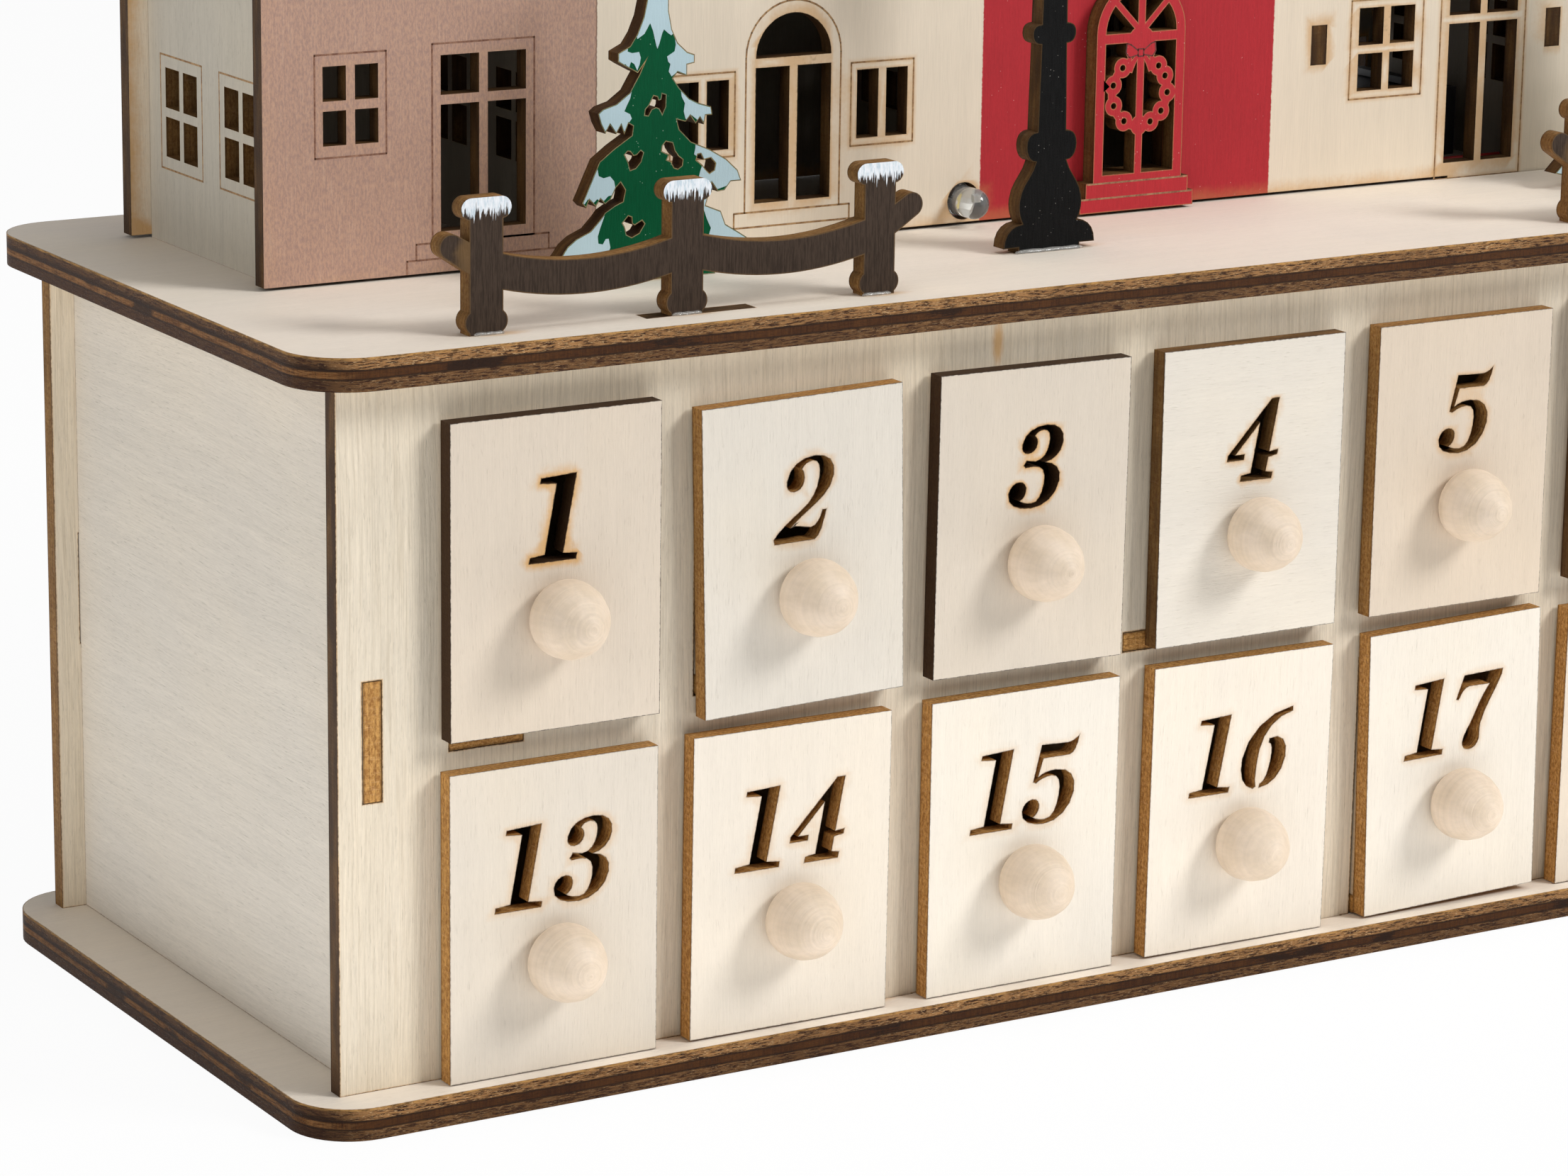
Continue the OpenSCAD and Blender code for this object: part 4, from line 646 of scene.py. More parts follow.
class CalendarColours(bpy.types.PropertyGroup):
    plate_wood: colour_property("Plates", "Veneer of the number plates", (0.81, 0.715, 0.60))
    panel_wood: colour_property("Panels", "Veneer of the front and back panels", (0.77, 0.68, 0.545))
    end_wood: colour_property("End panels", "Veneer of the end panels", (0.70, 0.64, 0.555))
    deck_wood: colour_property("Decks", "Veneer of the base plate and the lid", (0.84, 0.76, 0.66))
    inner_wood: colour_property("Inside", "Plain plywood inside the chest", (0.60, 0.47, 0.32))
    grain: colour_property("Grain", "Dark lines of the panels' grain", (0.50, 0.41, 0.29))
    knob_wood: colour_property("Knobs", "Turned wood of the knobs", (0.735, 0.60, 0.455))
    house_wood: colour_property("Pale houses", "Bare veneer of the pale houses", (0.83, 0.725, 0.585))
    house_brown: colour_property("Brown houses", "Paint of the brown houses", (0.53, 0.33, 0.24))
    house_red: colour_property("Red houses", "Paint of the red houses and their doors", (0.44, 0.022, 0.031))
    tree_green: colour_property("Trees", "Paint of the spruce trees", (0.001, 0.080, 0.030))
    tree_snow: colour_property("Tree snow", "Pale blue snow on the trees", (0.50, 0.66, 0.72))
    snow_white: colour_property("White snow", "Thick white snow on fences and roofs", (0.86, 0.89, 0.93))
    fence_brown: colour_property("Fences", "Paint of the fences", (0.048, 0.032, 0.023))
    lamp_black: colour_property("Lamp posts", "Paint of the lamp posts", (0.006, 0.006, 0.006))
    char: colour_property("Char", "Burnt line along a cut", (0.020, 0.009, 0.005))
    halo: colour_property("Halo", "Amber stain beside a cut", (0.64, 0.36, 0.12))
    edge_gold: colour_property("Edge", "Bright streaks of a thin edge", (0.62, 0.34, 0.105))
    edge_brown: colour_property("Edge shade", "Dark streaks of a thin edge", (0.29, 0.125, 0.032))
    edge_dark: colour_property("Deck edge shade", "Dark streaks of a thick edge", (0.034, 0.013, 0.007))
    edge_bronze: colour_property("Deck edge", "Bright streaks of a thick edge", (0.40, 0.205, 0.08))
    # Painted highlight: light specks that stand for the glints of an edge
    edge_painted_glint: colour_property("Edge glitter", "Glints of an edge", (0.72, 0.46, 0.23))
    edge_core: colour_property("Core", "Bright fibres of the middle ply", (0.20, 0.08, 0.022))
    edge_core_dark: colour_property("Core shade", "Dark fibres of the middle ply", (0.045, 0.016, 0.006))


class CalendarSizes(bpy.types.PropertyGroup):
    plate_rim: length_property("Plate scorch", "Width of the burnt line round a cut in a plate", 0.3)
    plate_smoke: length_property("Plate stain", "Width of the amber stain round a cut in a plate", 1.7)
    wall_smoke: length_property("House stain", "Width of the stain round a cut in a house front", 0.9)
    detail_rim: length_property("Detail scorch", "Width of the scorch round a cut in a small piece", 0.25)
    line_width: length_property("Engraved line", "Width of an engraved line", 0.3)
    line_lift: length_property("Line lift", "How far an engraved line stands out", 0.02)
    glue_bead: length_property("Glue bead", "Radius of the beads of glue at the lamp posts' feet", 0.55)
    snow_lift: length_property("Snow layer", "Thickness of the painted snow on a tree", 0.06)


class CalendarStage(bpy.types.PropertyGroup):
    key_power: power_property("Key light", "Power of the soft light at the right", 34.0)
    fill_power: power_property("Fill light", "Power of the soft light at the left", 4.5)
    top_power: power_property("Top light", "Power of the soft light overhead", 5.4)
    reflector_power: power_property("Reflector", "Power of the low reflector at the left", 0.45)
    strip_power: power_property("Strips", "Power of the low strips close to the chest", 0.14)
    sky: bpy.props.FloatProperty(name="Surround", description="Strength of the even light all round",
                                 default=0.08, min=0.0, max=1.0)
    lens: bpy.props.FloatProperty(name="Lens", description="Focal length on a 36 mm wide sensor",
                                  unit="CAMERA", default=119.3)


class CalendarSettings(bpy.types.PropertyGroup):
    colours: bpy.props.PointerProperty(type=CalendarColours, name="Colours", description="Colours of the finishes")
    sizes: bpy.props.PointerProperty(type=CalendarSizes, name="Sizes", description="Sizes of the details")
    stage: bpy.props.PointerProperty(type=CalendarStage, name="Stage", description="Light and camera")


def settings():
    return bpy.context.scene.calendar


@functools.cache
def cut_edge():
    return thin_edge("cut_edge")


@functools.cache
def inner_ply():
    return bare_ply("inner_ply", 1.3, 1.3)


# Operators


class CALENDAR_OT_chest(bpy.types.Operator):
    """Dress the decks, panels, shelf and dividers of the chest"""

    bl_idname = "calendar.chest"
    bl_label = "Dress Chest"

    # Amber glue that ran from under the lid, in millimetres
    glue_marks = ((ACROSS, UP, -151.6, 108.5, 1.3, 4.5, 0.8), (ACROSS, UP, -150.6, 113.0, 2.6, 2.0, 0.45),
                  (ACROSS, UP, 96.0, 111.0, 1.6, 4.0, 0.5))

    def execute(self, context):
        paint = settings().colours
        edge, inner, thick = cut_edge(), inner_ply(), deck_edge("deck_edge")
        panel = bare_ply("panel_veneer", 1.5, 0.8, 1.0, 0.5, self.glue_marks)
        end = bare_ply("end_veneer", 1.3, 0.8, 0.8)
        deck = bare_ply("deck_veneer", 0.6, 0.8, 0.8, 0.0, self.foot_marks())
        for node, *materials, fibres, colour, char, rim in (
                ("base_plate", deck, thick, ACROSS, paint.deck_wood, 0.45, 0.35),
                ("top_plate", deck, thick, ACROSS, paint.deck_wood, 0.4, 0.35),
                ("front_panel", panel, edge, UP, paint.panel_wood, 0.85, 0.35),
                ("back_panel", panel, edge, UP, paint.panel_wood, 0.6, 0.35),
                ("side_panel_left", end, edge, DEPTH, paint.end_wood, 0.15, 0.3),
                ("side_panel_right", end, edge, DEPTH, paint.end_wood, 0.15, 0.3),
                ("middle_shelf", inner, edge, ACROSS, paint.inner_wood, 0.12, 0.3),
                ("column_dividers", inner, edge, DEPTH, paint.inner_wood, 0.2, 0.3)):
            dress(node, Look(materials, fibres, coloured(colour), char), rim)
        return {"FINISHED"}

    def foot_marks(self):
        """Smoke and glue on the lid beside the feet of the fences, lamp posts and trees."""
        marks = []
        for side in SIDES:
            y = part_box("fence_" + side)[0].y / MM
            marks += [(ACROSS, DEPTH, x / MM + 1.5, y, 5.5, 1.8, 0.55) for x in post_places(side)]
            low, high = (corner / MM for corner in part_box("spruce_tree_" + side))
            marks.append((ACROSS, DEPTH, (low.x + high.x) / 2, low.y, 9.0, 1.5, 0.35))
        for side in ("left", "right"):
            low, high = (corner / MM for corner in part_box("lamp_post_" + side))
            marks.append((ACROSS, DEPTH, (low.x + high.x) / 2 + 1, low.y + 1.5, 10.5, 2.6, 0.6))
        return marks


class CALENDAR_OT_drawers(bpy.types.Operator):
    """Dress the plates, trays and knobs of the drawers"""

    bl_idname = "calendar.drawers"
    bl_label = "Dress Drawers"

    # Light, char, share of the stain's width, and whiteness of the plates whose numbers the photograph shows
    # Light is partly the plate's own tone and partly painted light: the lower row, 13 to 17, is made lighter than
    # the upper
    seen = {1: (0.875, 1.0, 1.0, 0.98), 2: (0.915, 0.35, 0.6, 1.05), 3: (0.855, 0.95, 0.5, 1.0),
            4: (0.945, 0.72, 0.5, 1.05), 5: (0.865, 0.45, 0.6, 0.96), 13: (0.905, 0.22, 0.7, 1.02),
            14: (1.02, 0.16, 0.7, 1.03), 15: (1.05, 0.12, 0.7, 1.05), 16: (1.07, 0.12, 0.7, 1.03),
            17: (1.03, 0.16, 0.7, 1.045)}
    lying_fibres = (4, 11, 21)

    def execute(self, context):
        paint, size = settings().colours, settings().sizes
        plate = bare_ply("plate_veneer", 0.55, 0.8)
        knob = turned_wood()
        chance = random.Random(24)
        for number, node in enumerate(DRAWERS, 1):
            other = (chance.uniform(0.92, 1.02), chance.choice((0.15, 0.3, 0.8)), 0.6, chance.uniform(0.97, 1.05))
            light, char, stained, white = self.seen.get(number, other)
            # Light scales the plate's tone; for the lower row of these plates it is painted light
            tone = [value * light * white ** index for index, value in enumerate(paint.plate_wood)]
            face = Look((plate, cut_edge()), ACROSS if number in self.lying_fibres else UP, tone, char)
            tray = Look((inner_ply(), cut_edge()), DEPTH, coloured(paint.inner_wood), 0.2, smoked=False)
            pull = Look((knob, knob), UP, coloured(paint.knob_wood), 0.0)

            def look(low, high):
                if not is_board(low, high):
                    return pull
                return face if high.y < PANEL_Y else tray

            dress(node, look, size.plate_rim / MM, node, size.plate_smoke * stained / MM, longest=25.0)
        return {"FINISHED"}


def turned_wood():
    """Pale turned wood with lathe rings and short fibres."""
    finish = Finish("knob_wood")
    x, z, depth = [value * 1000 for value in finish.split(finish.read("board"))]
    spot = finish.trace[2]
    radius = (x * x + z * z) ** 0.5
    rings = finish.noise(radius * 3.2, depth * 1.4, spot * 40, 2.0, 0.6)
    fibre = finish.noise(x * 1.2 + spot * 30, z * 1.2, depth * 0.35, 3.0, 0.6)
    cloud = finish.noise(x * 0.25, z * 0.25, depth * 0.2 + spot * 30)
    warm = finish.mix(cloud.rise(0.3, 0.75), coloured(settings().colours.knob_wood, 0.98), (0.77, 0.64, 0.51))
    colour = finish.lit(warm, uneven((rings, 0.22), (fibre, 0.2), (cloud, 0.1)))
    return finish.surface(colour, 0.55, rings + fibre * 0.5, 0.12)


class CALENDAR_OT_houses(bpy.types.Operator):
    """Dress the painted house fronts, the house backs, their walls and roofs"""

    bl_idname = "calendar.houses"
    bl_label = "Dress Houses"

    def execute(self, context):
        paint, smoke = settings().colours, settings().sizes.wall_smoke / MM
        front, edge = house_paint(), cut_edge()
        wall = bare_ply("wall_veneer", 1.2, 1.1)
        low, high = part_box("end_walls")
        # Painted shade: the veneer inside the rooms, between the end walls, is darkened; the house backs,
        # partitions, inner faces of the fronts and roof undersides wear it
        inside = bare_ply("inside_veneer_painted_shade", 1.2, 1.1, shade=(low.x / MM, high.x / MM, 0.4))
        roof = painted("roof_snow", paint.snow_white, (1, 1, 1), 0.06, 0.5, 0.03, 0.5, 0.1)
        # Painted shade: the end walls' veneer gets a darker, greyer tone than the rest of the houses
        wood, painted_shade_grey, snow = coloured(paint.house_wood), (0.60, 0.55, 0.46), coloured(paint.snow_white)
        looks = {"village_front": Look((front, edge, inside), UP, wood, 0.85, -1),
                 "village_back": Look((front, edge, inside), UP, wood, 0.85),
                 "end_walls": Look((wall, edge), UP, painted_shade_grey, 0.7),
                 "partition_walls": Look((inside, edge), UP, wood, 0.85)}
        looks.update({"roof_%d" % index: Look((roof, edge, inside), DEPTH, snow, 0.2) for index in range(1, 9)})
        for node, look in looks.items():
            dress(node, look, 0.08, smoke=smoke if "village" in node else 0.0, step=4.0)
        return {"FINISHED"}


def house_paint():
    """One sheet of house fronts: brown, bare, red and bare in turn."""
    paint = settings().colours
    finish = Finish("house_fronts")
    x, y, z = finish.place
    even = (x - STREET_LOW.x / MM).wrap(STREET_REPEAT / MM)
    run = even + (finish.noise(x * 0.4, z * 1.5, 3) - 0.5) * 0.3
    starts = [start / MM for start in HOUSE_STARTS]
    brown = 1 - run.rise(starts[1] - 0.08, starts[1] + 0.08)
    red = run.between(starts[2], starts[3], 0.12)
    fine = finish.grain(3.4, 0.16, 5, 3.0, 0.6)
    bands = finish.grain(0.42, 0.012, 9, 3.0, 0.6)
    cloud = finish.grain(0.05, 0.04, 13)
    bare = finish.lit(finish.read("tone"), uneven((fine, 0.16), (bands, 0.1), (cloud, 0.12)))
    # Only the front sheet, at y below 0, has engraved frames and their smoke
    smoke = finish.mix(frame_smoke(finish, even, z - LID_Z / MM, starts) * (1 - y.rise(0, 1)), bare, paint.halo)
    speck = finish.grain(3.0, 1.1, 17, 3.0, 0.75)
    strokes = finish.grain(2.9, 0.16, 23, 3.0, 0.7)
    hairs = finish.grain(2.4, 0.09, 29, 3.0, 0.8).rise(0.58, 0.7)
    tan = finish.coats((0.40, 0.255, 0.21), (speck.rise(0.38, 0.6), paint.house_brown),
                       (strokes.rise(0.5, 0.75) * 0.4, (0.62, 0.41, 0.29)), (hairs * 0.3, (0.68, 0.49, 0.36)))
    brown_coat = finish.lit(tan, uneven((cloud, 0.16), (strokes, 0.22)))
    red_coat = finish.lit(paint.house_red, uneven((strokes, 0.4), (speck, 0.3), (cloud, 0.2)))
    red_coat = finish.mix(finish.flecks(3.0, 37, 0.55, 0.6) * 0.5, red_coat, (0.8, 0.5, 0.48))
    seam = run.between(starts[1] - 0.12, starts[1] + 0.12, 0.06)
    colour = finish.coats(smoke, (brown, brown_coat), (red, red_coat), (seam * 0.75, (0.16, 0.075, 0.045)))
    colour = scorched(finish, colour, 0.8 - brown * 0.7 - red * 0.5)
    return finish.surface(colour, 0.64 - brown * 0.06, fine * 0.6 + strokes * 0.5, 0.05, Specular_IOR_Level=0.25)


def frame_smoke(finish, run, height, starts):
    """Amber stain along the engraved frames of the pale houses."""
    frames = [(starts[1] + u, *rest) for u, *rest in ARCHED_FRAMES]
    frames += [(starts[3] + u, *rest) for u, *rest in PLAIN_FRAMES]
    nearest = functools.reduce(Socket.least, [
        abs((abs(run - u) - w / 2).most(abs(height - v) - h / 2)) for u, v, w, h in frames])
    patchy = finish.noise(run * 0.35, height * 0.35, 61)
    return (1 - nearest.rise(0.1, 0.9)) * (patchy * 0.7)


class CALENDAR_OT_doors(bpy.types.Operator):
    """Dress the red door surrounds with their wreaths and steps"""

    bl_idname = "calendar.doors"
    bl_label = "Dress Doors"

    # Engraved outline of the bow and its knot, in millimetres from the door's middle and above its foot
    bow = (((-0.55, 26.45), (-2.0, 27.5), (-2.8, 27.75), (-2.95, 26.2), (-2.3, 25.4), (-0.55, 25.75)),
           ((0.55, 26.45), (2.0, 27.5), (2.8, 27.75), (2.95, 26.2), (2.3, 25.4), (0.55, 25.75)),
           ((-0.55, 25.5), (-0.55, 26.7), (0.55, 26.7), (0.55, 25.5), (-0.55, 25.5)))
    # Width of each step, and how high its top is
    steps = ((20.4 * MM, 5.0 * MM), (22.6 * MM, 2.5 * MM))
    bow_line = 0.22 * MM

    def execute(self, context):
        coat = painted("door_red", coloured(settings().colours.house_red, 1.1), (0.85, 0.6, 0.55), 0.2, 0.5, 0.22,
                       0.5, 0.6, bare=(0.50, 0.20, 0.12))
        figure("door_surrounds", coat, 0.75)
        self.step_lines()
        return {"FINISHED"}

    def step_lines(self):
        """Bare wood and a burnt line where each step stands out of the door, and the outline of the bow."""
        size = settings().sizes
        low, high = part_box("door_surrounds")
        bare = line_finish("step_wood", (0.20, 0.075, 0.04), (0.46, 0.25, 0.13))
        burnt = line_finish("bow_outline", (0.06, 0.012, 0.010), (0.17, 0.03, 0.025))
        steps, bows = bmesh.new(), bmesh.new()
        half = self.steps[1][0] / 2
        for middle in (low.x + half, high.x - half):
            for wide, top in self.steps:
                reach = wide / 2 - size.detail_rim
                block(steps, (middle - reach, low.y - size.line_lift, low.z + top - size.line_width),
                      (middle + reach, low.y + size.line_lift, low.z + top))
            for outline in self.bow:
                path(bows, outline, middle, low.z, low.y, self.bow_line)
        finished(steps, "door_step_lines", [bare], "case")
        finished(bows, "bow_outlines", [burnt], "case")


class CALENDAR_OT_trees(bpy.types.Operator):
    """Dress the spruce trees and paint snow on their branches"""

    bl_idname = "calendar.trees"
    bl_label = "Dress Trees"

    # How far the snow reaches into the tree behind its face, and its cutter out of it, in millimetres
    depth = 0.3
    reach = 2.0

    def execute(self, context):
        paint = settings().colours
        green = painted("tree_green", paint.tree_green, (0.5, 0.75, 0.6), 0.3, 0.5, 0.3, 0.85, 0.5, 0.08,
                        (0.25, 0.42, 0.33))
        snow = painted("tree_snow", paint.tree_snow, (0.9, 0.95, 0.97), 0.07, 0.5, 0.05, 0.3, 0.15)
        for side in SIDES:
            node = "spruce_tree_" + side
            figure(node, green, 0.85)
            low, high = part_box(node)
            self.paint_snow(node, "_snow_front", low.y, 1, snow)
            self.paint_snow(node, "_snow_rear", high.y, -1, snow)
        return {"FINISHED"}

    def paint_snow(self, node, ending, face_y, inward, snow):
        """Thin layer on one face of a tree, cut to the outlines of its snow."""
        size = settings().sizes
        skin = merged(node)
        front = [face for face in skin.faces if face.normal.y * inward < -FLAT]
        bmesh.ops.inset_region(skin, faces=front, thickness=size.detail_rim * 0.75, use_even_offset=True,
                               use_boundary=True)
        keep = set(front)
        bmesh.ops.delete(skin, geom=[face for face in skin.faces if face not in keep], context="FACES")
        for vert in skin.verts:
            vert.co.y -= inward * size.snow_lift
        thicken(skin, list(skin.faces), inward * (size.snow_lift + self.depth * MM))
        cutter = bmesh.new()
        low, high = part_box(node)
        middle = (low.x + high.x) / 2
        for outline in SNOW_OUTLINES:
            verts = [cutter.verts.new((middle + x * MM, face_y - self.reach * MM, low.z + z * MM))
                     for x, z in outline]
            thicken(cutter, [cutter.faces.new(verts)], 2 * self.reach * MM)
        piece = intersection(finished(skin, node + "_snow_skin", []), finished(cutter, node + "_snow_cutter", []),
                             node + ending)
        mark(piece)
        piece.data.materials.append(snow)
        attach(piece, "case")


def intersection(first, second, name):
    """What two closed pieces have in common. Both are used up."""
    modifier = first.modifiers.new("common", "BOOLEAN")
    modifier.operation = "INTERSECT"
    modifier.solver = "EXACT"
    modifier.object = second
    bpy.context.view_layer.update()
    evaluated = first.evaluated_get(bpy.context.evaluated_depsgraph_get())
    mesh = bmesh.new()
    mesh.from_mesh(bpy.data.meshes.new_from_object(evaluated))
    bpy.data.objects.remove(first)
    bpy.data.objects.remove(second)
    if not mesh.faces:
        raise RuntimeError(name + ": the two pieces have nothing in common")
    return finished(mesh, name, [])


def mark(piece):
    """Board attributes for an upright piece that isn't a copy of a CAD board."""
    board, trace, tone = [piece.data.attributes.new(name, "FLOAT_VECTOR", "POINT").data
                          for name in ("board", "trace", "tone")]
    for index, vert in enumerate(piece.data.vertices):
        board[index].vector = (vert.co.x, vert.co.z, 0.0)
        trace[index].vector = (0.0, 0.0, 0.5)
        tone[index].vector = (1.0, 1.0, 1.0)


class CALENDAR_OT_fences(bpy.types.Operator):
    """Dress the fences with brushed paint and snow on their posts"""

    bl_idname = "calendar.fences"
    bl_label = "Dress Fences"

    def execute(self, context):
        coat = fence_paint()
        for side in SIDES:
            figure("fence_" + side, coat, 0.62)
        return {"FINISHED"}


def fence_paint():
    """Dark brown brushed paint, and thick white snow that runs down from the post caps."""
    paint = settings().colours
    finish = Finish("fence_paint")
    height = finish.place[2] - LID_Z / MM
    strokes = finish.grain(3.2, 0.2, 5, 3.0, 0.75)
    fine = finish.grain(6, 0.7, 9, 2.0, 0.6)
    brown = finish.mix(strokes.rise(0.42, 0.62), coloured(paint.fence_brown, 1.2), coloured(paint.fence_brown, 0.7))
    coat = scorched(finish, finish.lit(brown, uneven((fine, 0.6))), 0.3)
    drips = finish.grain(1.5, 0.05, 31, 3.0, 0.7)
    brush = finish.grain(5, 0.25, 37, 2.0, 0.7)
    reach = 18.1 - (drips - 0.5) * 6.5 - (brush - 0.5) * 4.5
    snow = (height - reach).rise(-0.12, 0.12)
    shade = finish.grain(2.2, 0.5, 41, 3.0, 0.6)
    white = finish.mix(shade.rise(0.4, 0.75), paint.snow_white, (0.50, 0.62, 0.70))
    return finish.surface(finish.mix(snow, coat, white), 0.65 - snow * 0.2,
                          strokes * 0.5 + snow * 1.6 + shade * snow, 0.12, Specular_IOR_Level=0.1)


class CALENDAR_OT_lamps(bpy.types.Operator):
    """Dress the lamp posts"""

    bl_idname = "calendar.lamps"
    bl_label = "Dress Lamp Posts"

    def execute(self, context):
        coat = painted("lamp_black", settings().colours.lamp_black, (0.35, 0.33, 0.3), 1.5, 0.55, 1.0, 0.15, 0.6,
                       0.06)
        for side in ("left", "right"):
            figure("lamp_post_" + side, coat, 0.82)
        return {"FINISHED"}


class CALENDAR_OT_glue(bpy.types.Operator):
    """Run a bead of clear glue along the feet of the lamp posts and the fences"""

    bl_idname = "calendar.glue"
    bl_label = "Run Glue"

    def execute(self, context):
        radius = settings().sizes.glue_bead
        finish = Finish("dried_glue")
        flow = finish.texture(1.3)
        glue = finish.surface((0.90, 0.88, 0.82), 0.1 + flow * 0.12, flow, 0.15, Transmission_Weight=0.75, IOR=1.45)
        mesh = bmesh.new()
        for side in ("left", "right"):
            low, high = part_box("lamp_post_" + side)
            self.bead(mesh, (low.x + high.x) / 2, low.y, 6.6 * MM, radius)
        for side in SIDES:
            for x in post_places(side):
                self.bead(mesh, x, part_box("fence_" + side)[0].y, 2.6 * MM, radius * 0.8)
        rounded(mesh)
        finished(mesh, "glue_beads", [glue], "case", 60)
        return {"FINISHED"}

    def bead(self, mesh, x, y, half, radius):
        """Rounded bead that lies in the corner between a foot and the lid, pinched unevenly along its length."""
        shape = [(0.0, 0), (0.55, 0.03), (0.85, 0.1), (1.0, 0.25), (0.8, 0.4), (0.95, 0.55), (0.75, 0.7),
                 (0.95, 0.85), (0.6, 0.96), (0.0, 1)]
        profile = [(radius * wide, 2 * half * share) for wide, share in shape]
        turned(mesh, profile, (x - half, y - radius * 0.15, LID_Z + radius * 0.2), (1, 0, 0), 16)


class CALENDAR_OT_lights(bpy.types.Operator):
    """Build the clear lights with their inner posts, and dress their leads"""

    bl_idname = "calendar.lights"
    bl_label = "Build Lights"

    # Sizes of a light in millimetres
    radius = 2.5
    rim_radius = 2.9
    rim_height = 1.0
    length = 8.6
    leg_pitch = 2.5
    leg = 0.5
    # Profiles of the cup in it and of the chip in the cup: distances from the axis and along it
    cup = ((0, 2.6), (1.3, 2.8), (1.75, 4.3), (1.6, 4.3), (0.9, 3.35), (0, 3.3))
    chip = ((0, 3.4), (0.75, 3.4), (0.75, 3.7), (0, 3.7))

    def execute(self, context):
        resin = plain("clear_resin", (0.95, 0.95, 0.94), 0.05, 0.9, 0.03, 1.0, Transmission_Weight=0.9, IOR=1.45)
        metal = plain("light_metal", (0.62, 0.61, 0.57), 0.3, 4, 0.01, Metallic=0.6)
        glow = plain("light_chip", (0.85, 0.72, 0.30), 0.5, 6, 0.02)
        low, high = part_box("leds")
        middle = LID_Z + 4 * MM
        rear = STREET_Y + 2.9 * MM
        r, rim, bend = self.radius, self.rim_radius, 0.15
        dome = [(r * math.cos(a), self.length - r + r * math.sin(a))
                for a in (math.radians(step * 10) for step in range(9))]
        lens = [(0, 0), (rim, 0), (rim, self.rim_height - bend), (rim - bend, self.rim_height), (r, self.rim_height),
                *dome, (0, self.length)]
        lenses, posts, chips = bmesh.new(), bmesh.new(), bmesh.new()
        for x in (low.x + rim * MM, high.x - rim * MM):
            for mesh, profile, aside, steps in ((lenses, lens, 0, 48), (posts, self.cup, 0.5, 24),
                                                (chips, self.chip, 0.5, 16)):
                turned(mesh, [(a * MM, b * MM) for a, b in profile], (x - aside * MM, rear, middle), (0, -1, 0),
                       steps)
            for leg, reach in ((-1, 3.9), (1, 4.6)):
                place, half = x + leg * self.leg_pitch / 2 * MM, self.leg / 2 * MM
                block(posts, (place - half, rear - reach * MM, middle - half),
                      (place + half, rear - 0.5 * MM, middle + half))
        rounded(lenses)
        for mesh in (posts, chips):
            bmesh.ops.recalc_face_normals(mesh, faces=mesh.faces)
        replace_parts(finished(lenses, "light_lenses", [resin], "case", 40), "leds")
        finished(posts, "light_posts", [metal], "case")
        finished(chips, "light_chips", [glow], "case")
        return {"FINISHED"}


def plain(name, colour, roughness, scale, depth, detail=2.0, **constants):
    """Metal, resin or glass with faint marks of its casting."""
    finish = Finish(name)
    return finish.surface(colour, roughness, finish.texture(scale, detail), depth, **constants)


class CALENDAR_OT_battery_box(bpy.types.Operator):
    """Dress the battery box, its cells, contacts and leads"""

    bl_idname = "calendar.battery_box"
    bl_label = "Dress Battery Box"

    # Colour, Metallic, roughness, and how fine and deep the texture is
    finishes = {
        "battery_box": ((0.018, 0.018, 0.020), 0.0, 0.5, 3.0, 0.03),
        "battery_cover": ((0.022, 0.022, 0.024), 0.0, 0.55, 3.0, 0.03),
        "battery_switch": ((0.012, 0.012, 0.013), 0.0, 0.4, 3.0, 0.02),
        "coin_cells": ((0.62, 0.62, 0.60), 1.0, 0.28, 0.8, 0.01),
        "battery_contacts": ((0.66, 0.50, 0.25), 1.0, 0.3, 1.2, 0.01),
        "led_wiring": ((0.40, 0.022, 0.020), 0.0, 0.45, 1.5, 0.02),
    }

    def execute(self, context):
        for node, (colour, metallic, roughness, scale, depth) in self.finishes.items():
            finish = Finish(node + "_finish")
            texture = finish.texture(scale, 3.0, 0.6)
            material = finish.surface(finish.lit(colour, uneven((texture, 0.3))), roughness + (texture - 0.5) * 0.2,
                                      texture, depth, Metallic=metallic)
            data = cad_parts[node].data
            data.materials.clear()
            data.materials.append(material)
        return {"FINISHED"}


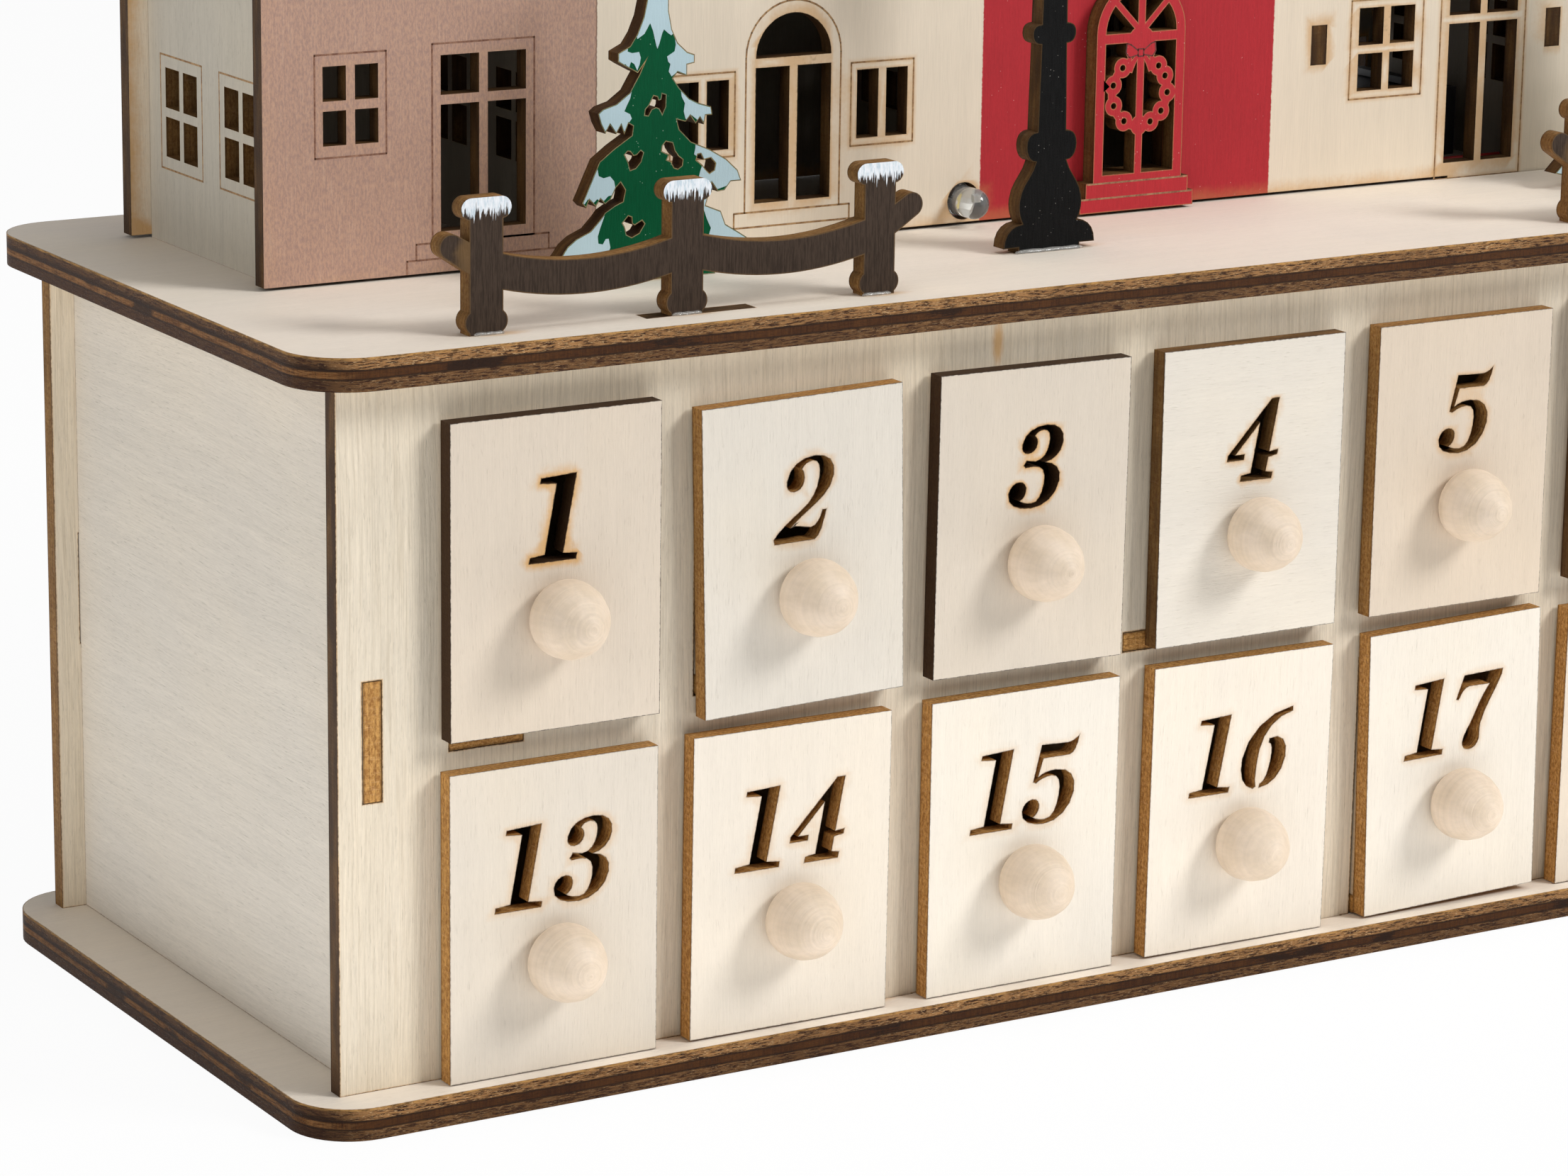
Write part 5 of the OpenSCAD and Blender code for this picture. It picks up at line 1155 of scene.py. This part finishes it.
class CALENDAR_OT_engraving(bpy.types.Operator):
    """Engrave the window frames, the arched door and the steps on the house fronts, and the frames on the end walls
    """

    bl_idname = "calendar.engraving"
    bl_label = "Engrave Houses"

    # Middles of the doors, from the left of the brown and of the arched house
    brown_door, arched_door = 37.2 * MM, 35.65 * MM
    # Radius of the arched door's arch and height of its centre above the lid, in millimetres
    arch_radius, arch_height = 8.75, 30
    # Middle and half size of an end wall's windows, from its middle and above the lid
    window_y, window_z = 10.9 * MM, 21 * MM
    window_wide, window_tall = 7.7 * MM, 9 * MM

    def execute(self, context):
        dark = line_finish("engraving_dark", (0.15, 0.058, 0.034), (0.36, 0.19, 0.12))
        amber = line_finish("engraving_amber", (0.21, 0.10, 0.035), (0.50, 0.31, 0.14))
        on_brown, on_bare = bmesh.new(), bmesh.new()
        brown, arched, red, plain_house = HOUSE_STARTS
        r = self.arch_radius
        arch = [(r * math.cos(a), self.arch_height + r * math.sin(a))
                for a in (math.radians(180 - 9 * step) for step in range(21))]
        for repeat in (0, 1):
            left = STREET_LOW.x + repeat * STREET_REPEAT
            for mesh, start, frames in ((on_brown, brown, BROWN_FRAMES), (on_bare, arched, ARCHED_FRAMES),
                                        (on_bare, red, RED_FRAMES), (on_bare, plain_house, PLAIN_FRAMES)):
                for u, v, w, h in frames:
                    a, b, c, d = u - w / 2, u + w / 2, v - h / 2, v + h / 2
                    self.line(mesh, left + start, [(a, c), (b, c), (b, d), (a, d), (a, c)])
            door = left + arched + self.arched_door
            self.steps(on_brown, left + brown + self.brown_door, ((11.5, 2.7, 5.1), (13.1, 0.6, 2.6)))
            self.line(on_bare, door, [(-r, 5.3), *arch, (r, 5.3)])
            self.steps(on_bare, door, ((10.7, 2.9, 5.3), (12.3, 0.6, 2.9)))
        self.end_frames(on_bare)
        finished(on_brown, "brown_house_engraving", [dark], "case")
        finished(on_bare, "pale_house_engraving", [amber], "case")
        return {"FINISHED"}

    def line(self, mesh, left, points):
        path(mesh, points, left, LID_Z, STREET_Y, settings().sizes.line_width)

    def steps(self, mesh, middle, rows):
        for half, low, high in rows:
            self.line(mesh, middle, [(-half, low), (-half, high), (half, high), (half, low)])

    def end_frames(self, mesh):
        """Frames round the windows of the two end walls."""
        size = settings().sizes
        low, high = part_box("end_walls")
        half, lift, wide, tall = size.line_width / 2, size.line_lift, self.window_wide, self.window_tall
        z = LID_Z + self.window_z
        for x in (low.x, high.x):
            for side in (-1, 1):
                y = (low.y + high.y) / 2 + side * self.window_y
                for edge in (-tall, tall):
                    block(mesh, (x - lift, y - wide - half, z + edge - half),
                          (x + lift, y + wide + half, z + edge + half))
                for edge in (-wide, wide):
                    block(mesh, (x - lift, y + edge - half, z - tall), (x + lift, y + edge + half, z + tall))


def path(mesh, points, left, foot, y, width):
    """Engraved line through points given in millimetres from a place and above a foot."""
    places = [Vector((left + x * MM, 0, foot + z * MM)) for x, z in points]
    for start, end in zip(places, places[1:]):
        stroke(mesh, start, end, y, width, settings().sizes.line_lift)


def stroke(mesh, start, end, y, width, lift):
    """Straight engraved line between two points of an upright face."""
    run = end - start
    turn = Matrix.Rotation(-math.atan2(run.z, run.x), 4, "Y")
    place = (start + end) / 2
    place.y = y
    reach = Matrix.Diagonal((run.length + width / 2, 2 * lift, width, 1))
    bmesh.ops.create_cube(mesh, size=1.0, matrix=Matrix.Translation(place) @ turn @ reach)


def line_finish(name, deep, light):
    """Burnt line that fades where the laser ran faster."""
    finish = Finish(name)
    x, y, z = finish.place
    slow = finish.noise(x * 0.9, y, z * 0.9, 3.0, 0.7)
    fine = finish.noise(x * 6, y, z * 6)
    colour = finish.mix(slow.rise(0.3, 0.72), deep, light)
    return finish.surface(finish.lit(colour, 0.8 + fine * 0.4), 0.7, fine, 0.02)


class CALENDAR_OT_stage(bpy.types.Operator):
    """Set the floor, the soft lights and the camera"""

    bl_idname = "calendar.stage"
    bl_label = "Set Stage"

    def execute(self, context):
        stage = settings().stage
        self.floor()
        self.surround(stage.sky)
        for lamp in (("key_light", (1.15, -1.35, 1.4), (-0.1, 0, 0.09), 0.7, stage.key_power),
                     ("fill_light", (-1.3, -0.5, 0.6), (-0.1, 0, 0.06), 0.9, stage.fill_power),
                     ("top_light", (0, -0.15, 1.35), (0, -0.1, 0), 0.8, stage.top_power),
                     ("left_reflector", (-0.59, 0, 0.002), (-0.59, 0, 1), 0.6, stage.reflector_power),
                     ("near_reflector", (-0.33, 0, 0.002), (-0.33, 0, 1), 0.1, stage.strip_power * 0.35, 0.22),
                     ("front_strip", (-0.02, -0.124, 0.002), (-0.02, -0.124, 1), 0.56, stage.strip_power, 0.11)):
            self.softbox(*lamp)
        self.camera(stage.lens)
        return {"FINISHED"}

    def floor(self):
        mesh = bmesh.new()
        bmesh.ops.create_grid(mesh, x_segments=1, y_segments=1, size=4.0,
                              matrix=Matrix.Translation((0, 0, -0.0002)))
        finish = Finish("pale_floor")
        matt = finish.node("ShaderNodeBsdfDiffuse", None, {"Color": (0.93, 0.93, 0.93, 1)})
        white = finish.node("ShaderNodeEmission", None, {"Color": (1, 1, 1, 1), "Strength": 1.0})
        rays = self.seen_rays(finish)
        material = finish.end(finish.node("ShaderNodeMixShader", None, {0: rays * 0.95, 1: matt, 2: white}))
        finished(mesh, "floor", [material])

    def seen_rays(self, finish):
        camera, glossy, clear = [finish.node("ShaderNodeLightPath", None, None, name) for name in
                                 ("Is Camera Ray", "Is Glossy Ray", "Is Transmission Ray")]
        return (camera + glossy + clear).least(1.0)

    def surround(self, strength):
        finish = Finish("surround", "worlds")
        dim, white = [finish.node("ShaderNodeBackground", None, {"Color": (1, 1, 1, 1), "Strength": level})
                      for level in (strength, 1.0)]
        shader = finish.node("ShaderNodeMixShader", None, {0: self.seen_rays(finish), 1: dim, 2: white})
        bpy.context.scene.world = finish.end(shader, "ShaderNodeOutputWorld")

    def softbox(self, name, place, target, size, power, depth=None):
        """Soft light at a place, turned toward a target."""
        lamp = bpy.data.lights.new(name, "AREA")
        lamp.shape = "RECTANGLE"
        lamp.size, lamp.size_y = size, depth or size
        lamp.energy = power
        item = bpy.data.objects.new(name, lamp)
        item.location = place
        item.rotation_euler = (Vector(target) - Vector(place)).to_track_quat("-Z", "Y").to_euler()
        item.visible_camera = False
        bpy.context.scene.collection.objects.link(item)

    def camera(self, lens):
        """Camera where the photograph was taken, fitted to the straight edges of the chest."""
        heading, tilt, roll = math.radians(30.994), math.radians(-14.345), math.radians(0.799)
        ahead = Vector((math.sin(heading) * math.cos(tilt), math.cos(heading) * math.cos(tilt), math.sin(tilt)))
        level = Vector((math.cos(heading), -math.sin(heading), 0))
        upright = level.cross(ahead)
        right = level * math.cos(roll) + upright * math.sin(roll)
        up = upright * math.cos(roll) - level * math.sin(roll)
        data = bpy.data.cameras.new("camera")
        data.lens = lens
        data.sensor_width = 36
        data.clip_start, data.clip_end = 0.05, 20
        item = bpy.data.objects.new("camera", data)
        item.matrix_world = Matrix((right, up, -ahead)).transposed().to_4x4()
        item.location = (-0.5842, -0.7063, 0.2700)
        bpy.context.scene.collection.objects.link(item)
        bpy.context.scene.camera = item
        bpy.context.scene.view_settings.view_transform = "Standard"


OPERATORS = (CALENDAR_OT_chest, CALENDAR_OT_drawers, CALENDAR_OT_houses, CALENDAR_OT_doors, CALENDAR_OT_trees,
             CALENDAR_OT_fences, CALENDAR_OT_lamps, CALENDAR_OT_glue, CALENDAR_OT_lights, CALENDAR_OT_battery_box,
             CALENDAR_OT_engraving, CALENDAR_OT_stage)


class CALENDAR_PT_looks(bpy.types.Panel):
    """Settings and steps of the calendar's looks"""

    bl_label = "Advent Calendar"
    bl_idname = "CALENDAR_PT_looks"
    bl_space_type = "VIEW_3D"
    bl_region_type = "UI"
    bl_category = "Calendar"

    def draw(self, context):
        for operator in OPERATORS:
            self.layout.operator(operator.bl_idname)
        for group in (settings().colours, settings().sizes, settings().stage):
            box = self.layout.box()
            for name in group.bl_rna.properties.keys():
                if name not in ("rna_type", "name"):
                    box.prop(group, name)


CLASSES = (CalendarColours, CalendarSizes, CalendarStage, CalendarSettings) + OPERATORS + (CALENDAR_PT_looks,)


def register():
    for item in CLASSES:
        bpy.utils.register_class(item)
    bpy.types.Scene.calendar = bpy.props.PointerProperty(type=CalendarSettings, name="Calendar",
                                                         description="Looks of the advent calendar")


def unregister():
    del bpy.types.Scene.calendar
    for item in reversed(CLASSES):
        bpy.utils.unregister_class(item)


def main():
    register()
    for operator in OPERATORS:
        group, name = operator.bl_idname.split(".")
        getattr(getattr(bpy.ops, group), name)()


if __name__ == "__main__":
    main()
